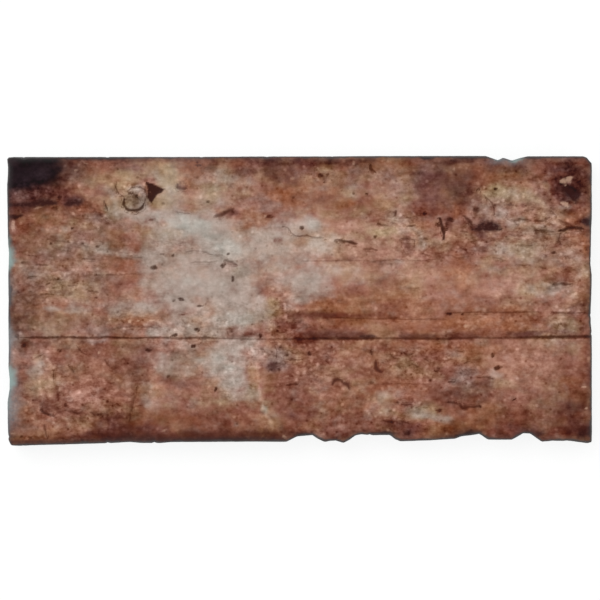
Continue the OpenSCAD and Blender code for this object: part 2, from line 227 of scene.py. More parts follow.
SOOT = [
    (-97, 45, 5, 5, 90), (-92, 46, 9, 6, 100), (-91, 44, 6.4, 4.4, 90), (-85, 45.4, 3.6, 4, 75),
    (43.5, 49, 2.6, 0.7, 80), (57, 49, 4, 0.7, 50), (79, 48.9, 3, 0.6, 50), (90, 45.2, 5, 1.4, 35),
    (-96, 41.6, 4, 3.4, 90), (-95, 33, 4, 0.8, 35), (-82.6, 40.6, 2, 1.6, 30), (-77, 34.2, 2.4, 1.2, 25),
    (90, 37.6, 2.6, 1.6, 30, -20), (93, 36.6, 1.5, 3.2, 70, 40), (93, 36, 2.4, 2, 50),
    (64.8, 25.8, 3.4, 1, 45), (98, 27.2, 1.6, 1.2, 80), (23.4, -12.1, 2.6, 0.7, 35),
    (-8.8, -22.8, 1.8, 1.2, 20), (-54, -46.6, 10, 1.4, 45), (-24, -47.4, 18, 0.6, 50),
    (2, -45.6, 4, 0.6, 60), (30, -45.2, 4, 0.6, 60), (37, -45.4, 2.4, 1.6, 30), (57, -45.6, 5, 0.8, 60, 5),
    (79, -44.9, 5, 0.8, 50), (97, -46, 1.4, 1.2, 30),
]
# Where the glaze is darker, and lighter, than its colours.
SMOKE = [
    (-95, 45, 4, 4, 20), (-86, 45, 10, 5, 40), (-76.4, 44.8, 6, 4, 75), (-75, 46, 6, 2, 25),
    (-47, 42, 3, 2, 30), (-36, 42, 2.6, 2.4, 40), (-35, 46, 5, 2, 25), (-25, 46, 7, 3, 40),
    (-8, 45, 6, 5, 30), (5, 46, 6, 2, 30), (14.6, 45.4, 8, 3, 45), (20, 42, 3, 2, 40), (25, 46, 6, 3, 35),
    (35, 45, 5, 3, 40), (51, 45, 5.4, 2.6, 40), (60, 42, 7, 4, 10), (65, 44, 7, 3, 45), (70, 43.6, 8, 4, 35),
    (75, 44.6, 5, 3, 45), (78, 42, 6, 1.6, 30), (92, 43, 6, 4, 30), (95, 46, 4, 3, 40), (-96, 32, 3, 6, 25),
    (-90, 38, 10, 4, 45), (-85, 35, 6, 3, 30), (-85, 31.4, 4, 1.6, 40), (-84, 40.8, 4, 2, 70),
    (-76, 35.4, 2.6, 1.6, 30), (-68, 32, 5, 3, 30), (-57.4, 33.6, 3, 2, 30), (-57, 35.6, 4, 2.4, 30),
    (-55, 34, 4, 2, 15), (-36, 40, 4, 2, 25), (-31, 40.4, 3, 2, 25), (-28, 38.6, 8, 1.4, 35),
    (-20, 33, 9, 3, 15), (-3, 35, 4, 3, 20), (16, 33, 4, 1.6, 30), (25, 34, 4, 3, 20),
    (38, 35, 4, 2, 35, 20), (43, 31, 5, 3, 30), (52, 34, 4, 3, 35), (56, 37, 6, 7, 40), (68, 36, 3, 5, 30),
    (86, 36, 1.6, 2, 30), (91, 41, 7, 6, 45), (92, 33.6, 3, 1.4, 40), (-97, 20, 3, 3, 20),
    (-94, 26, 4, 3, 20), (-93, 28, 6, 3, 20), (-86, 25, 7, 4, 30), (-86, 18, 9, 4, 35),
    (-85, 27, 8, 1.2, 30), (-74, 25, 6, 4, 14), (-73, 30, 5, 3, 30), (-65, 18, 7, 4, 30, -10),
    (-65, 25, 4, 4, 35), (-52, 27, 3, 2, 40), (-52, 18, 2.4, 2, 25), (-46, 22, 5, 2, 40, -25),
    (-35, 26, 5, 3, 20), (-28, 22, 2.6, 1.6, 40), (-16, 24.4, 4, 1.6, 30), (-12, 29, 10, 3, 15),
    (-5, 25, 3, 1.6, 30), (33, 29, 2, 2, 35), (40, 24, 4, 2.4, 40, -40), (48, 18, 5, 3, 40),
    (52, 27, 2, 3, 25), (55, 20, 6, 4, 20), (78, 23.6, 3, 2, 50), (84, 23, 3, 2, 30), (92, 30, 2.6, 1.6, 60),
    (95, 25, 3, 3, 40), (-95, 15, 4, 5, 40), (-90, 8, 8, 6, 20), (-79, 7, 3, 2, 40), (-76, 15, 6, 4, 20),
    (-65, 15, 5, 3, 30), (-55, 15, 3, 3, 20), (-45, 14, 5, 3, 30), (-20, 10, 2.4, 1.6, 25),
    (-15, 14, 4, 3, 20), (-4, 12.6, 4, 2, 30), (0, 14, 2.4, 2, 40), (25, 15, 6, 4, 35), (45, 15, 3, 2, 10),
    (60.5, 17, 2.6, 4, 45), (76, 16, 8, 5, 30), (88, 14.4, 5, 2, 50), (94, 10, 3, 3, 20),
    (-95, -6, 5, 3, 40), (-92, -1, 8, 4, 30), (-85, 5, 4, 4, 30), (-85, -6, 4, 3, 30), (-74, -4, 5, 3, 25),
    (-72, 6, 2.4, 2, 40), (-65, -6, 3, 3, 30), (-65, 4, 5, 4, 30), (-61, -4, 5, 5, 20),
    (-44, -5, 5, 1.6, 40), (-24, 5, 4, 3, 25), (-15, -6, 3, 2, 30), (-13, 4.5, 4, 4, 15),
    (-9, -4, 1.4, 1, 70), (0, 2, 2.6, 2, 55), (6, -1, 6, 3, 25), (14, -6, 8, 3, 40), (35, 5, 4, 3, 25),
    (39, 2, 6, 3, 20), (75, -5, 5, 3, 20), (85, 5, 5, 3, 30), (97, -4, 3, 5, 25), (99, -2, 2.4, 5, 40),
    (-99, -7, 3, 4.6, 55), (-95, -14, 4, 4, 35), (-95, -8, 3, 3, 30), (-85, -14, 6, 3, 30),
    (-70, -16, 8, 3, 20), (-55, -15, 6, 3, 30), (-47, -6.5, 1.4, 0.8, 50), (-39.5, -16, 3, 2, 40),
    (-35, -15, 4, 3, 10), (-20, -12.4, 7, 1, 50), (-17, -12.2, 3, 1.5, 60), (-6, -8, 4, 3, 25),
    (5, -15, 6, 4, 40), (24, -16, 6, 3, 25), (28, -12, 4, 1.4, 20), (45, -12, 8, 1.6, 20),
    (80, -9.8, 8, 1, 40), (94, -8, 3, 2.4, 50), (-96, -20, 2, 2, 30), (-96, -26, 2, 4, 15),
    (-96, -22, 1.6, 2, 40), (-94, -26, 4, 6, 35), (-85, -23, 1.6, 1.4, 20), (-84, -25.4, 2, 2, 40),
    (-76, -26, 5, 4, 35), (-62, -24, 8, 5, 30), (-56, -27, 4, 5, 20), (-45, -24, 4, 3, 40),
    (-40, -18, 2.4, 2, 30), (-38, -19, 5, 4, 30, -30), (-17, -26, 3, 4, 25), (-16, -30, 2, 2.4, 30),
    (-9, -27, 3, 5, 40), (0, -20, 5, 4, 25), (5, -22.6, 4, 3, 35), (12, -30, 2.4, 1.6, 60),
    (12, -18, 2.4, 2, 30), (25, -25, 5, 4, 35), (35, -24, 5, 4, 24), (52.6, -23, 1.4, 1.2, 60),
    (58, -29, 6, 4, 15, -20), (60, -18, 4, 5, 40), (60, -29, 3, 2, 25), (85, -24, 4, 3, 20),
    (96, -26, 1.6, 2, 50), (-95, -36, 4, 5, 20), (-93, -37, 5, 3, 25), (-90, -40, 3, 2, 30),
    (-86, -35.6, 2.6, 1.6, 20), (-66.4, -35.6, 3.4, 4, 55, -20), (-55, -34.6, 3.4, 8, 50, -15),
    (-45, -39, 5, 2.6, 40), (-15, -35, 5, 3, 50), (-5, -35, 3, 3, 20), (8, -40, 10, 4, 20),
    (15, -36, 5, 4, 35), (34, -34, 5, 2.6, 24), (36.4, -35.3, 3.4, 1, 40), (45, -37.4, 5, 2, 30),
    (50.6, -32, 1.8, 1.4, 70), (64, -34, 7, 5, 25), (66, -41, 6, 4, 30), (76, -40, 6, 4, 30),
    (94, -31, 4, 6, 25), (95, -36, 5, 6, 50), (96, -34, 3, 4, 20), (-96, -42, 4, 5, 30),
    (-94, -46, 6, 3, 30), (-90, -47, 12, 2.4, 40), (-84, -42, 3, 1.6, 40), (-70, -47, 8, 2, 40),
    (-60, -46, 10, 2, 30), (-57, -42, 7, 4, 40), (-28, -47, 20, 2, 50), (-20, -42, 5, 3, 40),
    (-10, -44, 9, 4, 40), (-5, -46, 8, 2, 30), (15, -47, 5, 1.4, 50), (29, -44, 3, 1.6, 40),
    (44, -45, 5, 2, 30), (50, -43.4, 1.6, 1, 30), (54, -42.6, 5, 2, 30), (54.6, -44.6, 5, 2, 60),
    (55, -43.6, 8, 3, 70), (74, -46, 6, 1.4, 28), (90, -44, 6, 4, 35), (90, -45.4, 6, 1.8, 50),
    (98, -46, 4, 4, 40),
]
BLOOM = [
    (-80, 46.6, 3, 2.4, 45), (-71.6, 46, 2.4, 1.6, 60), (-48, 42, 2.4, 2, 40), (-45, 46, 4, 2, 25),
    (-5, 45, 4, 2, 15), (55, 45, 5, 2, 30), (65, 47, 4, 1, 20), (66, 46, 5, 2.4, 60), (75, 46.4, 6, 1.4, 60),
    (76, 46, 3, 1.6, 95), (85, 45, 5, 2, 50), (87, 46, 5, 2, 45), (91.6, 48.4, 3, 0.9, 90),
    (92, 46, 2, 1, 60), (-95, 36, 3, 3, 20), (-88, 38, 3, 1.4, 60), (-78, 38, 4, 5, 60), (-62, 33, 3, 3, 50),
    (-58, 41, 4, 3, 40), (-57, 38.6, 3, 1.4, 50), (-46, 36, 5, 4, 40), (-42, 38, 7, 6, 55),
    (-35, 35, 4, 3, 25), (-30, 36, 7, 5, 65), (-25, 34, 6, 4, 40), (-20, 36, 5, 3, 30), (-16, 33, 6, 3, 40),
    (-16, 38, 5, 4, 30, -35), (-11, 33.6, 6, 3, 60), (-8, 32, 4, 3, 40), (14, 38, 3, 2.4, 25),
    (19, 37, 5, 2.5, 50), (36, 37, 5, 5, 40), (45.6, 34.6, 5, 4, 50), (63, 34, 4, 2, 50, -30),
    (65, 36, 7, 5, 40), (75, 33.6, 4, 2, 15), (79, 34, 6, 3, 30), (86.5, 41, 2.6, 5, 55),
    (88, 34, 2, 1.6, 50), (97.4, 36, 1.4, 2, 45), (-82, 24, 6, 1.6, 30), (-75, 23, 6, 3, 10),
    (-48, 25.6, 4, 2, 50), (-48, 30, 3, 1.4, 35), (-47, 20, 6, 3, 40, -20), (-46, 23, 6, 4, 45),
    (-27, 28, 9, 5, 60), (-26, 19, 4, 3, 40), (-4, 22, 6, 4, 40), (-3, 26.6, 6, 3, 80), (0, 30, 3, 1.6, 30),
    (4, 27, 5, 3, 30), (8, 20, 8, 3, 30), (10, 28, 9, 4, 40), (22, 22, 8, 5, 35), (25, 25, 4, 3, 20),
    (29, 26, 8, 3.6, 70), (34, 24, 6, 4, 45), (36, 20, 6, 9, 60), (47, 26, 3, 3, 75), (48, 22, 6, 6, 35),
    (49, 27, 2, 3, 30), (55, 29, 4, 3, 50), (60, 27.8, 2, 1.2, 40), (64, 24.6, 6, 1.4, 20),
    (65, 24, 2.6, 1, 30), (65, 26, 3.4, 4.4, 45), (70, 22, 8, 5, 20), (72, 27, 9, 5, 25),
    (72, 20, 6, 2.4, 40), (72, 26, 2.6, 1.6, 40), (75, 25, 5, 4, 55), (80, 27, 5, 3, 10),
    (84, 20, 10, 7, 10), (88, 28, 5, 2, 60, -40), (91, 26, 2.6, 1.4, 50), (92, 18, 4, 4, 40),
    (97, 18, 3, 6, 30), (98.6, 22, 2, 6, 45), (-77, 10, 5, 3, 30), (-55, 7, 5, 4, 30), (-9, 15, 5, 4, 50),
    (-4, 8, 4, 6, 50), (5, 15, 7, 4, 45), (12, 15, 9, 6, 60), (14, 8, 8, 5, 30), (15, 16, 4, 2, 10),
    (16, 12, 7, 5, 35), (25, 16, 10, 6, 60), (25, 16, 3, 3, 20), (28, 10, 3, 2, 35), (35, 15, 3, 3, 20),
    (35.4, 15.2, 5.4, 4.2, 80), (37, 14, 9, 6, 70), (55, 16, 4, 3, 25), (57, 17.4, 3, 2.8, 80),
    (60, 10, 2.4, 2, 45), (64, 9, 5, 2, 40), (65, 15.4, 4.4, 2.8, 65), (66, 10, 4, 2, 60),
    (82, 15, 17, 4, 45), (85, 16, 6, 3, 25), (97, 8, 3, 4, 60), (-97, -2, 2.4, 2.4, 70),
    (-83, -1.4, 4, 2, 50), (-76, -2, 4, 4, 40), (-65, -6, 3, 3, 20), (-64, -2, 2.4, 1.6, 50),
    (-56, 3, 6, 5, 30), (-46, -6, 6, 4, 40), (-33, -4, 4, 4, 50), (-33, 6, 6, 5, 40), (-21, -3, 4, 4, 30),
    (-15, 6, 3, 3, 55), (-13, 3, 3, 2, 30), (-9.4, 1.4, 3, 3, 50), (-6, 2, 4, 4, 50, 30),
    (5, -5.4, 4, 3.4, 40), (12, 6, 3, 2, 45), (20, 6, 5, 3, 50), (46, 6, 5, 5, 50), (47, 3, 6, 3, 30),
    (48, 6, 3, 2, 30), (55, 6, 7, 5, 50), (63, -6, 5, 2, 40), (68, 6, 9, 5, 55, -15), (74, 6, 10, 4, 50),
    (76, 2, 8, 1.6, 40), (84, 2, 3, 1.4, 40), (90, 2, 5, 4, 40), (93, -4, 1.6, 1, 40), (94, -5, 3, 3, 30),
    (95, -5, 3, 2, 50), (-54, -9, 2, 0.8, 60), (-44.4, -14, 5.4, 3, 80), (-18, -9.6, 4, 1.2, 60),
    (-14.4, -15.6, 4, 3.8, 40), (-9, -7, 1.2, 1, 60), (0, -9.6, 2.6, 1.2, 60), (4, -6.6, 6, 1.6, 50),
    (23, -15, 3, 3, 50), (42, -17, 5, 3, 40), (88, -7, 6, 4, 60), (90, -8, 3, 1.6, 30), (93, -15, 6, 3, 30),
    (98.4, -8, 1, 2, 50), (-98.4, -18, 2.6, 4, 70), (-97, -24, 2, 3, 20), (-92.4, -22, 4, 3, 70),
    (-91, -23, 4, 3, 35), (-88, -29, 8, 4, 60), (-86, -25, 6, 4, 60), (-85, -19, 6, 5, 50, -30),
    (-78, -29, 6, 5, 50), (-48, -23, 3, 4, 80), (-20, -18, 5, 2, 40), (-19.6, -22, 2, 2.4, 40),
    (-15, -25.2, 3, 6.6, 65), (-14, -18, 5, 4, 50), (-12.4, -22, 1.6, 2, 50), (15, -19, 5, 2, 30),
    (17, -22, 5, 4, 40), (49, -27, 4, 5, 30), (55, -25, 6, 2.4, 35), (70, -28, 5, 6, 50, 20),
    (97.4, -30, 1.2, 1.6, 60), (-98.4, -39, 2.6, 5, 40), (-86, -36, 9, 4, 30), (-75, -36, 5, 3, 25),
    (-74, -34, 7, 3, 60), (-72, -38, 2.4, 1.6, 30), (-61, -31, 4, 3, 50), (-52, -38, 2.4, 2.4, 60),
    (-47, -32, 4, 6, 30), (-40, -38, 3, 2, 40), (-36, -35, 6, 4, 20), (-33, -33, 5, 4, 40),
    (-19, -32, 4, 3, 50), (-14, -36, 4, 1.6, 50, 25), (-12, -34, 3, 3, 50), (26, -41, 4, 2, 30),
    (30, -34.8, 5.6, 4.6, 70), (44, -37, 4, 5, 30), (75, -35, 5, 3, 45), (76, -31, 6, 3, 40),
    (94, -41.4, 3, 1.2, 50), (-98.4, -44.6, 2, 2, 90), (-56, -45, 5, 2, 40), (-49, -44, 6, 2.4, 50),
    (12, -43, 8, 3, 30, 25), (14, -46, 5, 1, 40), (15, -42, 4, 3, 30), (35, -42.4, 5, 2, 50),
    (48, -44, 2.4, 1.4, 50), (65, -44, 5, 2, 25), (72, -44, 4, 1.4, 35), (85, -45, 5, 2, 30),
    (94, -46, 5, 1.4, 30), (98.6, -43, 0.9, 1.6, 50),
]
# Where the grit is stronger.
GRAVEL = [
    (6, 44, 7, 3, 50), (-92, 37, 8, 4, 50), (-57, 36, 5, 4, 90), (66, 36, 10, 4, 40), (90, 40, 8, 8, 50),
    (-70, 28, 10, 3, 70), (-66, 18, 12, 3, 60), (-38, 19, 10, 2.5, 40), (32, 28, 7, 4, 90),
    (42, 20, 7, 5, 70), (64, 18, 12, 4, 60), (74, 28, 16, 6, 80), (86, 20, 12, 6, 80), (-78, 12, 16, 9, 30),
    (-24, 13, 6, 5, 40), (90, 8, 9, 4, 70), (-84, 6, 14, 6, 60), (-60, -6, 10, 3, 50), (-22, -5, 8, 5, 50),
    (95, 5, 5, 8, 40), (-38, -11, 14, 5, 80), (-14, -17, 7, 5, 70), (-6, -12, 8, 12, 90), (90, -9, 8, 5, 60),
    (-86, -22, 12, 10, 45), (-22, -28, 6, 8, 50), (6, -22, 10, 8, 60), (38, -22, 10, 6, 80),
    (52, -20, 6, 8, 70), (58, -28, 8, 6, 35), (-86, -36, 6, 4, 35), (-72, -34, 14, 8, 80),
    (34, -40, 9, 5, 70), (37, -36, 5, 5, 40),
]
# Where the glaze flaked off the rim.
BARE = [
    (67.4, 48.2, 2.2, 0.6, 40, -10), (74.4, 48, 2.6, 0.8, 60, 14), (-99.8, 20, 1.2, 2.4, 40),
    (-99.2, 14.8, 2.5, 3.7, 100), (-99.8, -12, 0.9, 5, 40), (-99.8, -26, 3, 4.4, 95),
    (-99.8, -33, 1.6, 5, 50),
]
# A thin blue-grey veil.
HAZE = [
    (-56, 46, 6, 3, 12), (-43.4, 42, 3, 5, 22), (-37, 46, 6, 3, 16), (71, 47.6, 6, 1.4, 50),
    (-66, 36, 5, 3, 12), (-43, 33.4, 4, 3, 18), (-36, 36, 8, 3, 10), (76, 34, 8, 3, 10),
    (-99, 5, 1.2, 6, 30), (-35, 5, 10, 5, 8), (-99.9, -14, 2, 6, 75), (-98.8, -11.6, 2, 2, 30),
    (-99.8, -26, 3.4, 4, 50), (-99.9, -33, 2.8, 6.4, 75), (-98.8, -39, 2.4, 5, 45),
    (-97.4, -38, 2.4, 2.6, 30),
]
# Where the grit is weaker.
CALM = [
    (-91, 44, 10, 6, 100), (-68, 43, 7, 4, 30), (-8, 42, 12, 6, 40), (14, 32, 14, 8, 50),
    (50, 38, 10, 9, 40), (-34, 26, 12, 5, 50, -10), (-60, 8, 7, 6, 30), (22, 8, 18, 6, 60),
    (-36, 6, 14, 8, 50), (54, 4, 12, 8, 50), (94, 0, 5, 4, 20), (32, -8.6, 18, 2.4, 60),
    (-22, -24, 7, 8, 10), (-25, -40, 22, 5, 80), (92, -38, 8, 7, 60), (-60, -43, 12, 4, 60),
    (64, -42, 14, 3, 50),
]
POOLS = dict(
    lime=LIME, chalk=CHALK, lilac=LILAC, tan=TAN, salmon=SALMON, amber=AMBER, rust=RUST, plum=PLUM,
    soot=SOOT, smoke=SMOKE, bloom=BLOOM, gravel=GRAVEL, bare=BARE, haze=HAZE, calm=CALM,
)

# Small marks with a clear edge, in the same form: dark pits and pale grit.
DARK = [
    (-78.6, 42, 0.8, 0.4, 40), (-58, 45.8, 0.7, 0.4, 35), (-34.6, 46.2, 1.1, 0.5, 65),
    (7.2, 42.8, 1, 0.8, 75), (9.6, 43.4, 0.7, 0.6, 50), (-83.6, 31.6, 1.2, 0.8, 60),
    (-81.9, 35.3, 0.8, 1.2, 60), (-75.8, 31.6, 0.8, 0.5, 50), (-57.6, 36.8, 1.2, 0.7, 60, 20),
    (-46.4, 33.2, 0.6, 0.6, 50), (-31.2, 33.9, 0.8, 0.5, 70), (-2.2, 35.2, 0.8, 0.6, 45),
    (1.4, 33.2, 0.7, 0.6, 50), (8.6, 40.6, 0.7, 0.5, 60), (18.6, 37, 0.6, 0.8, 40),
    (18.6, 36.8, 0.4, 0.5, 45), (23, 36.6, 0.6, 0.5, 50), (23, 36.4, 0.5, 0.4, 50), (33, 30.6, 0.4, 0.8, 50),
    (60.4, 31, 1.4, 1, 50), (66.4, 32.7, 0.9, 0.6, 60), (67, 38.2, 0.9, 0.6, 85), (-85, 19.5, 0.7, 0.4, 70),
    (-77.6, 24.7, 0.5, 0.5, 75), (-68.8, 18.6, 0.9, 0.5, 65), (-67.8, 29.4, 0.7, 0.5, 40),
    (-50.3, 27.8, 1.4, 0.6, 50), (-10.2, 28.7, 1.4, 0.6, 80), (0.8, 24.9, 0.9, 0.6, 90),
    (25.9, 21.8, 0.8, 0.5, 80), (27.2, 26, 0.9, 0.5, 50), (30.4, 27.2, 0.5, 0.6, 40),
    (32.4, 29.8, 1.1, 0.9, 60), (32.5, 29.5, 0.6, 1, 50), (42.8, 29.9, 0.9, 0.7, 75), (43, 21.1, 1, 0.6, 60),
    (46.2, 22.6, 0.6, 0.6, 40), (50.4, 26, 0.7, 1.4, 60), (51.6, 27.8, 1.4, 0.9, 65, -30),
    (74.6, 26, 0.8, 0.6, 50), (75, 27.7, 1, 0.5, 55), (83.9, 27.9, 1.4, 0.5, 60, 15),
    (-94.8, 12.9, 0.7, 0.4, 60), (-70, 12.3, 0.7, 0.5, 40), (-69.6, 9, 0.8, 0.5, 65),
    (-57.6, 15.2, 0.8, 0.4, 50), (-49.8, 11.3, 1.3, 0.8, 70, -10), (-49.6, 11.7, 0.8, 0.8, 50),
    (-46.9, 16, 0.9, 0.4, 65), (-43.1, 15.5, 0.6, 0.7, 65), (-26.3, 11.9, 0.9, 0.7, 85, -30),
    (-25.4, 12.8, 0.6, 0.4, 60), (-24.3, 16, 0.6, 0.5, 75), (-22.8, 8.2, 0.5, 0.7, 50),
    (-22.8, 6.8, 0.5, 0.5, 40), (-22.8, 7.5, 0.4, 1.1, 60), (-15, 17.9, 0.6, 0.5, 40),
    (-11.4, 10.2, 0.5, 0.5, 40), (69.8, 16.6, 0.9, 0.5, 50), (75.2, 15.5, 0.8, 0.4, 40),
    (84.8, 16.6, 0.6, 0.4, 40), (86.8, 16.3, 1.2, 0.6, 65), (98, 17.5, 0.6, 0.7, 50),
    (-98.8, 1.6, 0.5, 0.8, 60), (-98.6, 4, 0.6, 1.6, 70), (-96, 3, 1, 0.4, 50), (-92, 3.2, 0.9, 0.4, 50),
    (-86, 5.8, 1, 0.4, 60, 20), (-84, 4.2, 0.9, 0.4, 50, -20), (-69.5, 1.2, 0.6, 0.5, 70),
    (-59, 0.4, 0.7, 0.3, 40), (-43, 0.1, 0.6, 0.4, 70), (-40.4, 0.5, 1.3, 0.5, 100, -10),
    (-39.8, -4.6, 1, 0.4, 50), (-34, -1.8, 1.1, 0.45, 95), (-32, -0.9, 0.6, 0.35, 70, 20),
    (-12.4, -5.6, 0.5, 0.5, 40), (-9, -2.4, 0.6, 0.5, 45), (-7.6, -3.4, 0.7, 0.5, 40),
    (-5.6, -1.6, 0.5, 0.7, 40), (-4, -5.6, 0.6, 0.7, 40), (51, -4.4, 1.5, 0.4, 80),
    (55.8, -4.5, 0.6, 0.6, 80), (-96.6, -12, 1, 1, 50), (-94.2, -15.2, 1, 0.7, 75, 30),
    (-82, -17, 1, 0.6, 65), (-51.6, -16.9, 1.2, 0.6, 85, -5), (-43.8, -12.3, 0.5, 0.4, 70),
    (-42.6, -11.7, 1, 0.6, 80, 20), (-36.3, -15.5, 1, 0.6, 100), (-34.9, -9.9, 1, 0.75, 100),
    (-29, -11.6, 0.7, 0.4, 50), (-23.4, -10.4, 0.8, 0.5, 40, 20), (-22, -12, 0.9, 0.4, 40),
    (-20, -13.4, 0.7, 0.3, 40), (-17.8, -17.6, 0.4, 0.5, 40), (-16.6, -11.2, 0.7, 0.5, 50),
    (-13.4, -11.9, 0.6, 1, 75), (-12.8, -16.4, 0.7, 0.9, 50), (-8.4, -12, 0.5, 0.7, 40),
    (-7, -9, 0.6, 0.8, 45), (-6.6, -16.2, 0.6, 1.2, 55, -20), (-2, -10.6, 0.6, 0.8, 45),
    (1.2, -15.9, 1.2, 0.6, 55), (61.8, -14.6, 0.3, 0.9, 40), (-44.9, -25.8, 0.8, 0.7, 70),
    (-20.8, -19.4, 0.4, 0.6, 40), (-12.6, -18, 0.5, 0.7, 50), (-10.6, -24, 0.5, 0.5, 40),
    (-10.4, -22.2, 0.6, 0.6, 45), (-9.6, -23.4, 0.8, 0.5, 60), (-8, -21.4, 0.7, 0.5, 45),
    (-7, -23.4, 0.6, 0.6, 60), (-6.6, -21.4, 0.5, 0.4, 40), (-4.2, -18.6, 0.6, 0.6, 50),
    (3.4, -18, 0.7, 0.8, 75, 20), (24.4, -28, 1.1, 0.7, 50), (28.4, -28.4, 0.8, 0.5, 50),
    (44.6, -27.2, 1, 0.5, 60, 30), (66, -18.6, 0.7, 1, 75), (67.4, -22.9, 1.2, 0.8, 100, 10),
    (69, -22.6, 0.6, 0.5, 70), (-79.8, -35.6, 0.8, 0.8, 65), (-79, -36.8, 0.6, 0.5, 50),
    (-28.7, -30.3, 0.6, 0.9, 85), (33.6, -34.7, 0.6, 0.7, 55), (34, -41.7, 1.6, 0.5, 35),
    (37, -35.3, 1.7, 0.4, 60), (39.8, -36.4, 0.7, 0.4, 40), (47.6, -37.4, 1, 0.6, 90),
    (56.2, -36.8, 0.9, 0.7, 70, -20), (61.6, -36, 0.8, 0.6, 70), (73.3, -33.8, 0.8, 0.4, 80),
    (80, -35.6, 0.6, 0.4, 30), (89, -31.2, 0.9, 0.5, 40), (-95, -46.3, 0.8, 0.5, 50),
    (-92, -46.7, 0.9, 0.5, 60), (36.8, -45.4, 1.2, 0.7, 45),
]
CREAM = [
    (-76.4, 44.6, 0.8, 0.6, 45), (-73, 47, 1.2, 0.5, 40, -20), (18.6, 47, 0.5, 0.9, 55),
    (52.8, 45, 0.5, 0.6, 50), (54.8, 45.6, 0.4, 0.5, 40), (-93.4, 36.8, 0.6, 0.3, 25),
    (-90, 37, 0.7, 0.4, 25), (-89.4, 31.7, 1.6, 0.4, 55, 8), (-64, 31.6, 0.4, 0.6, 40),
    (-61.8, 40.2, 0.5, 0.5, 40), (-60.8, 36.6, 0.5, 0.5, 60), (-59.2, 38, 0.5, 0.7, 45),
    (-55.6, 38.4, 0.9, 0.4, 50), (-54.6, 36.2, 0.7, 0.8, 65, -20), (-2.4, 41.8, 1, 0.7, 50),
    (26.6, 34.2, 0.6, 0.4, 40), (85.6, 36.6, 0.9, 0.5, 40, -45), (89.8, 40.9, 1.1, 0.7, 100),
    (90.4, 33.3, 1.5, 0.6, 100, -5), (91, 39.6, 0.5, 0.3, 80), (91, 41, 1.8, 1.1, 45, 20),
    (91.4, 32.3, 0.9, 0.5, 70), (92.2, 41.8, 1.3, 0.7, 100, 25), (92.4, 40.4, 0.6, 0.4, 60),
    (95.5, 31.3, 0.6, 0.4, 40), (-97.9, 25.8, 0.7, 2, 60), (-95, 30, 0.9, 0.4, 40, -30),
    (-69.6, 26.8, 0.6, 0.5, 45), (-69, 18.8, 1.9, 1.5, 20), (-67.4, 28.2, 0.6, 0.6, 50),
    (-62.2, 24.7, 0.8, 0.4, 40), (-11.8, 28.9, 0.6, 0.5, 60), (-10.4, 29.8, 0.8, 0.3, 40),
    (27.2, 27.2, 0.7, 0.4, 30), (29.4, 28.4, 0.6, 0.6, 35), (31.8, 29.8, 0.4, 1.1, 40),
    (-73.6, -10.6, 0.7, 0.4, 35), (-68.6, -17.7, 0.5, 0.5, 60), (-58, -6.8, 0.8, 0.6, 80),
    (-55.2, -6.8, 0.5, 0.4, 70), (-50.4, -6.6, 1, 0.4, 60), (-3.4, -6.8, 0.8, 0.4, 50),
    (-1.8, -7, 0.4, 0.4, 40), (11.8, -17.4, 0.4, 1.2, 50, -10), (56.8, -8.6, 0.9, 0.7, 55),
    (57, -8.7, 0.8, 0.6, 50), (-4.3, -25.8, 0.8, 0.5, 55), (15.4, -27.6, 0.5, 0.5, 50),
    (27.6, -22.6, 0.5, 0.5, 50), (97.2, -29.4, 1.2, 0.4, 70, 10), (-66.7, -34.2, 0.6, 0.5, 60),
    (-40.6, -38.2, 1, 0.5, 35, 40), (-12.6, -36.8, 0.9, 0.7, 45, 30), (98, -36.7, 0.6, 0.4, 80),
    (-97.8, -45.2, 1.4, 0.4, 50), (-46.2, -44.2, 1.2, 0.5, 45, 20), (-5.2, -46.5, 0.9, 0.5, 60, -20),
    (26.6, -43.4, 0.7, 0.6, 45),
]
SPOTS = dict(dark=DARK, cream=CREAM)

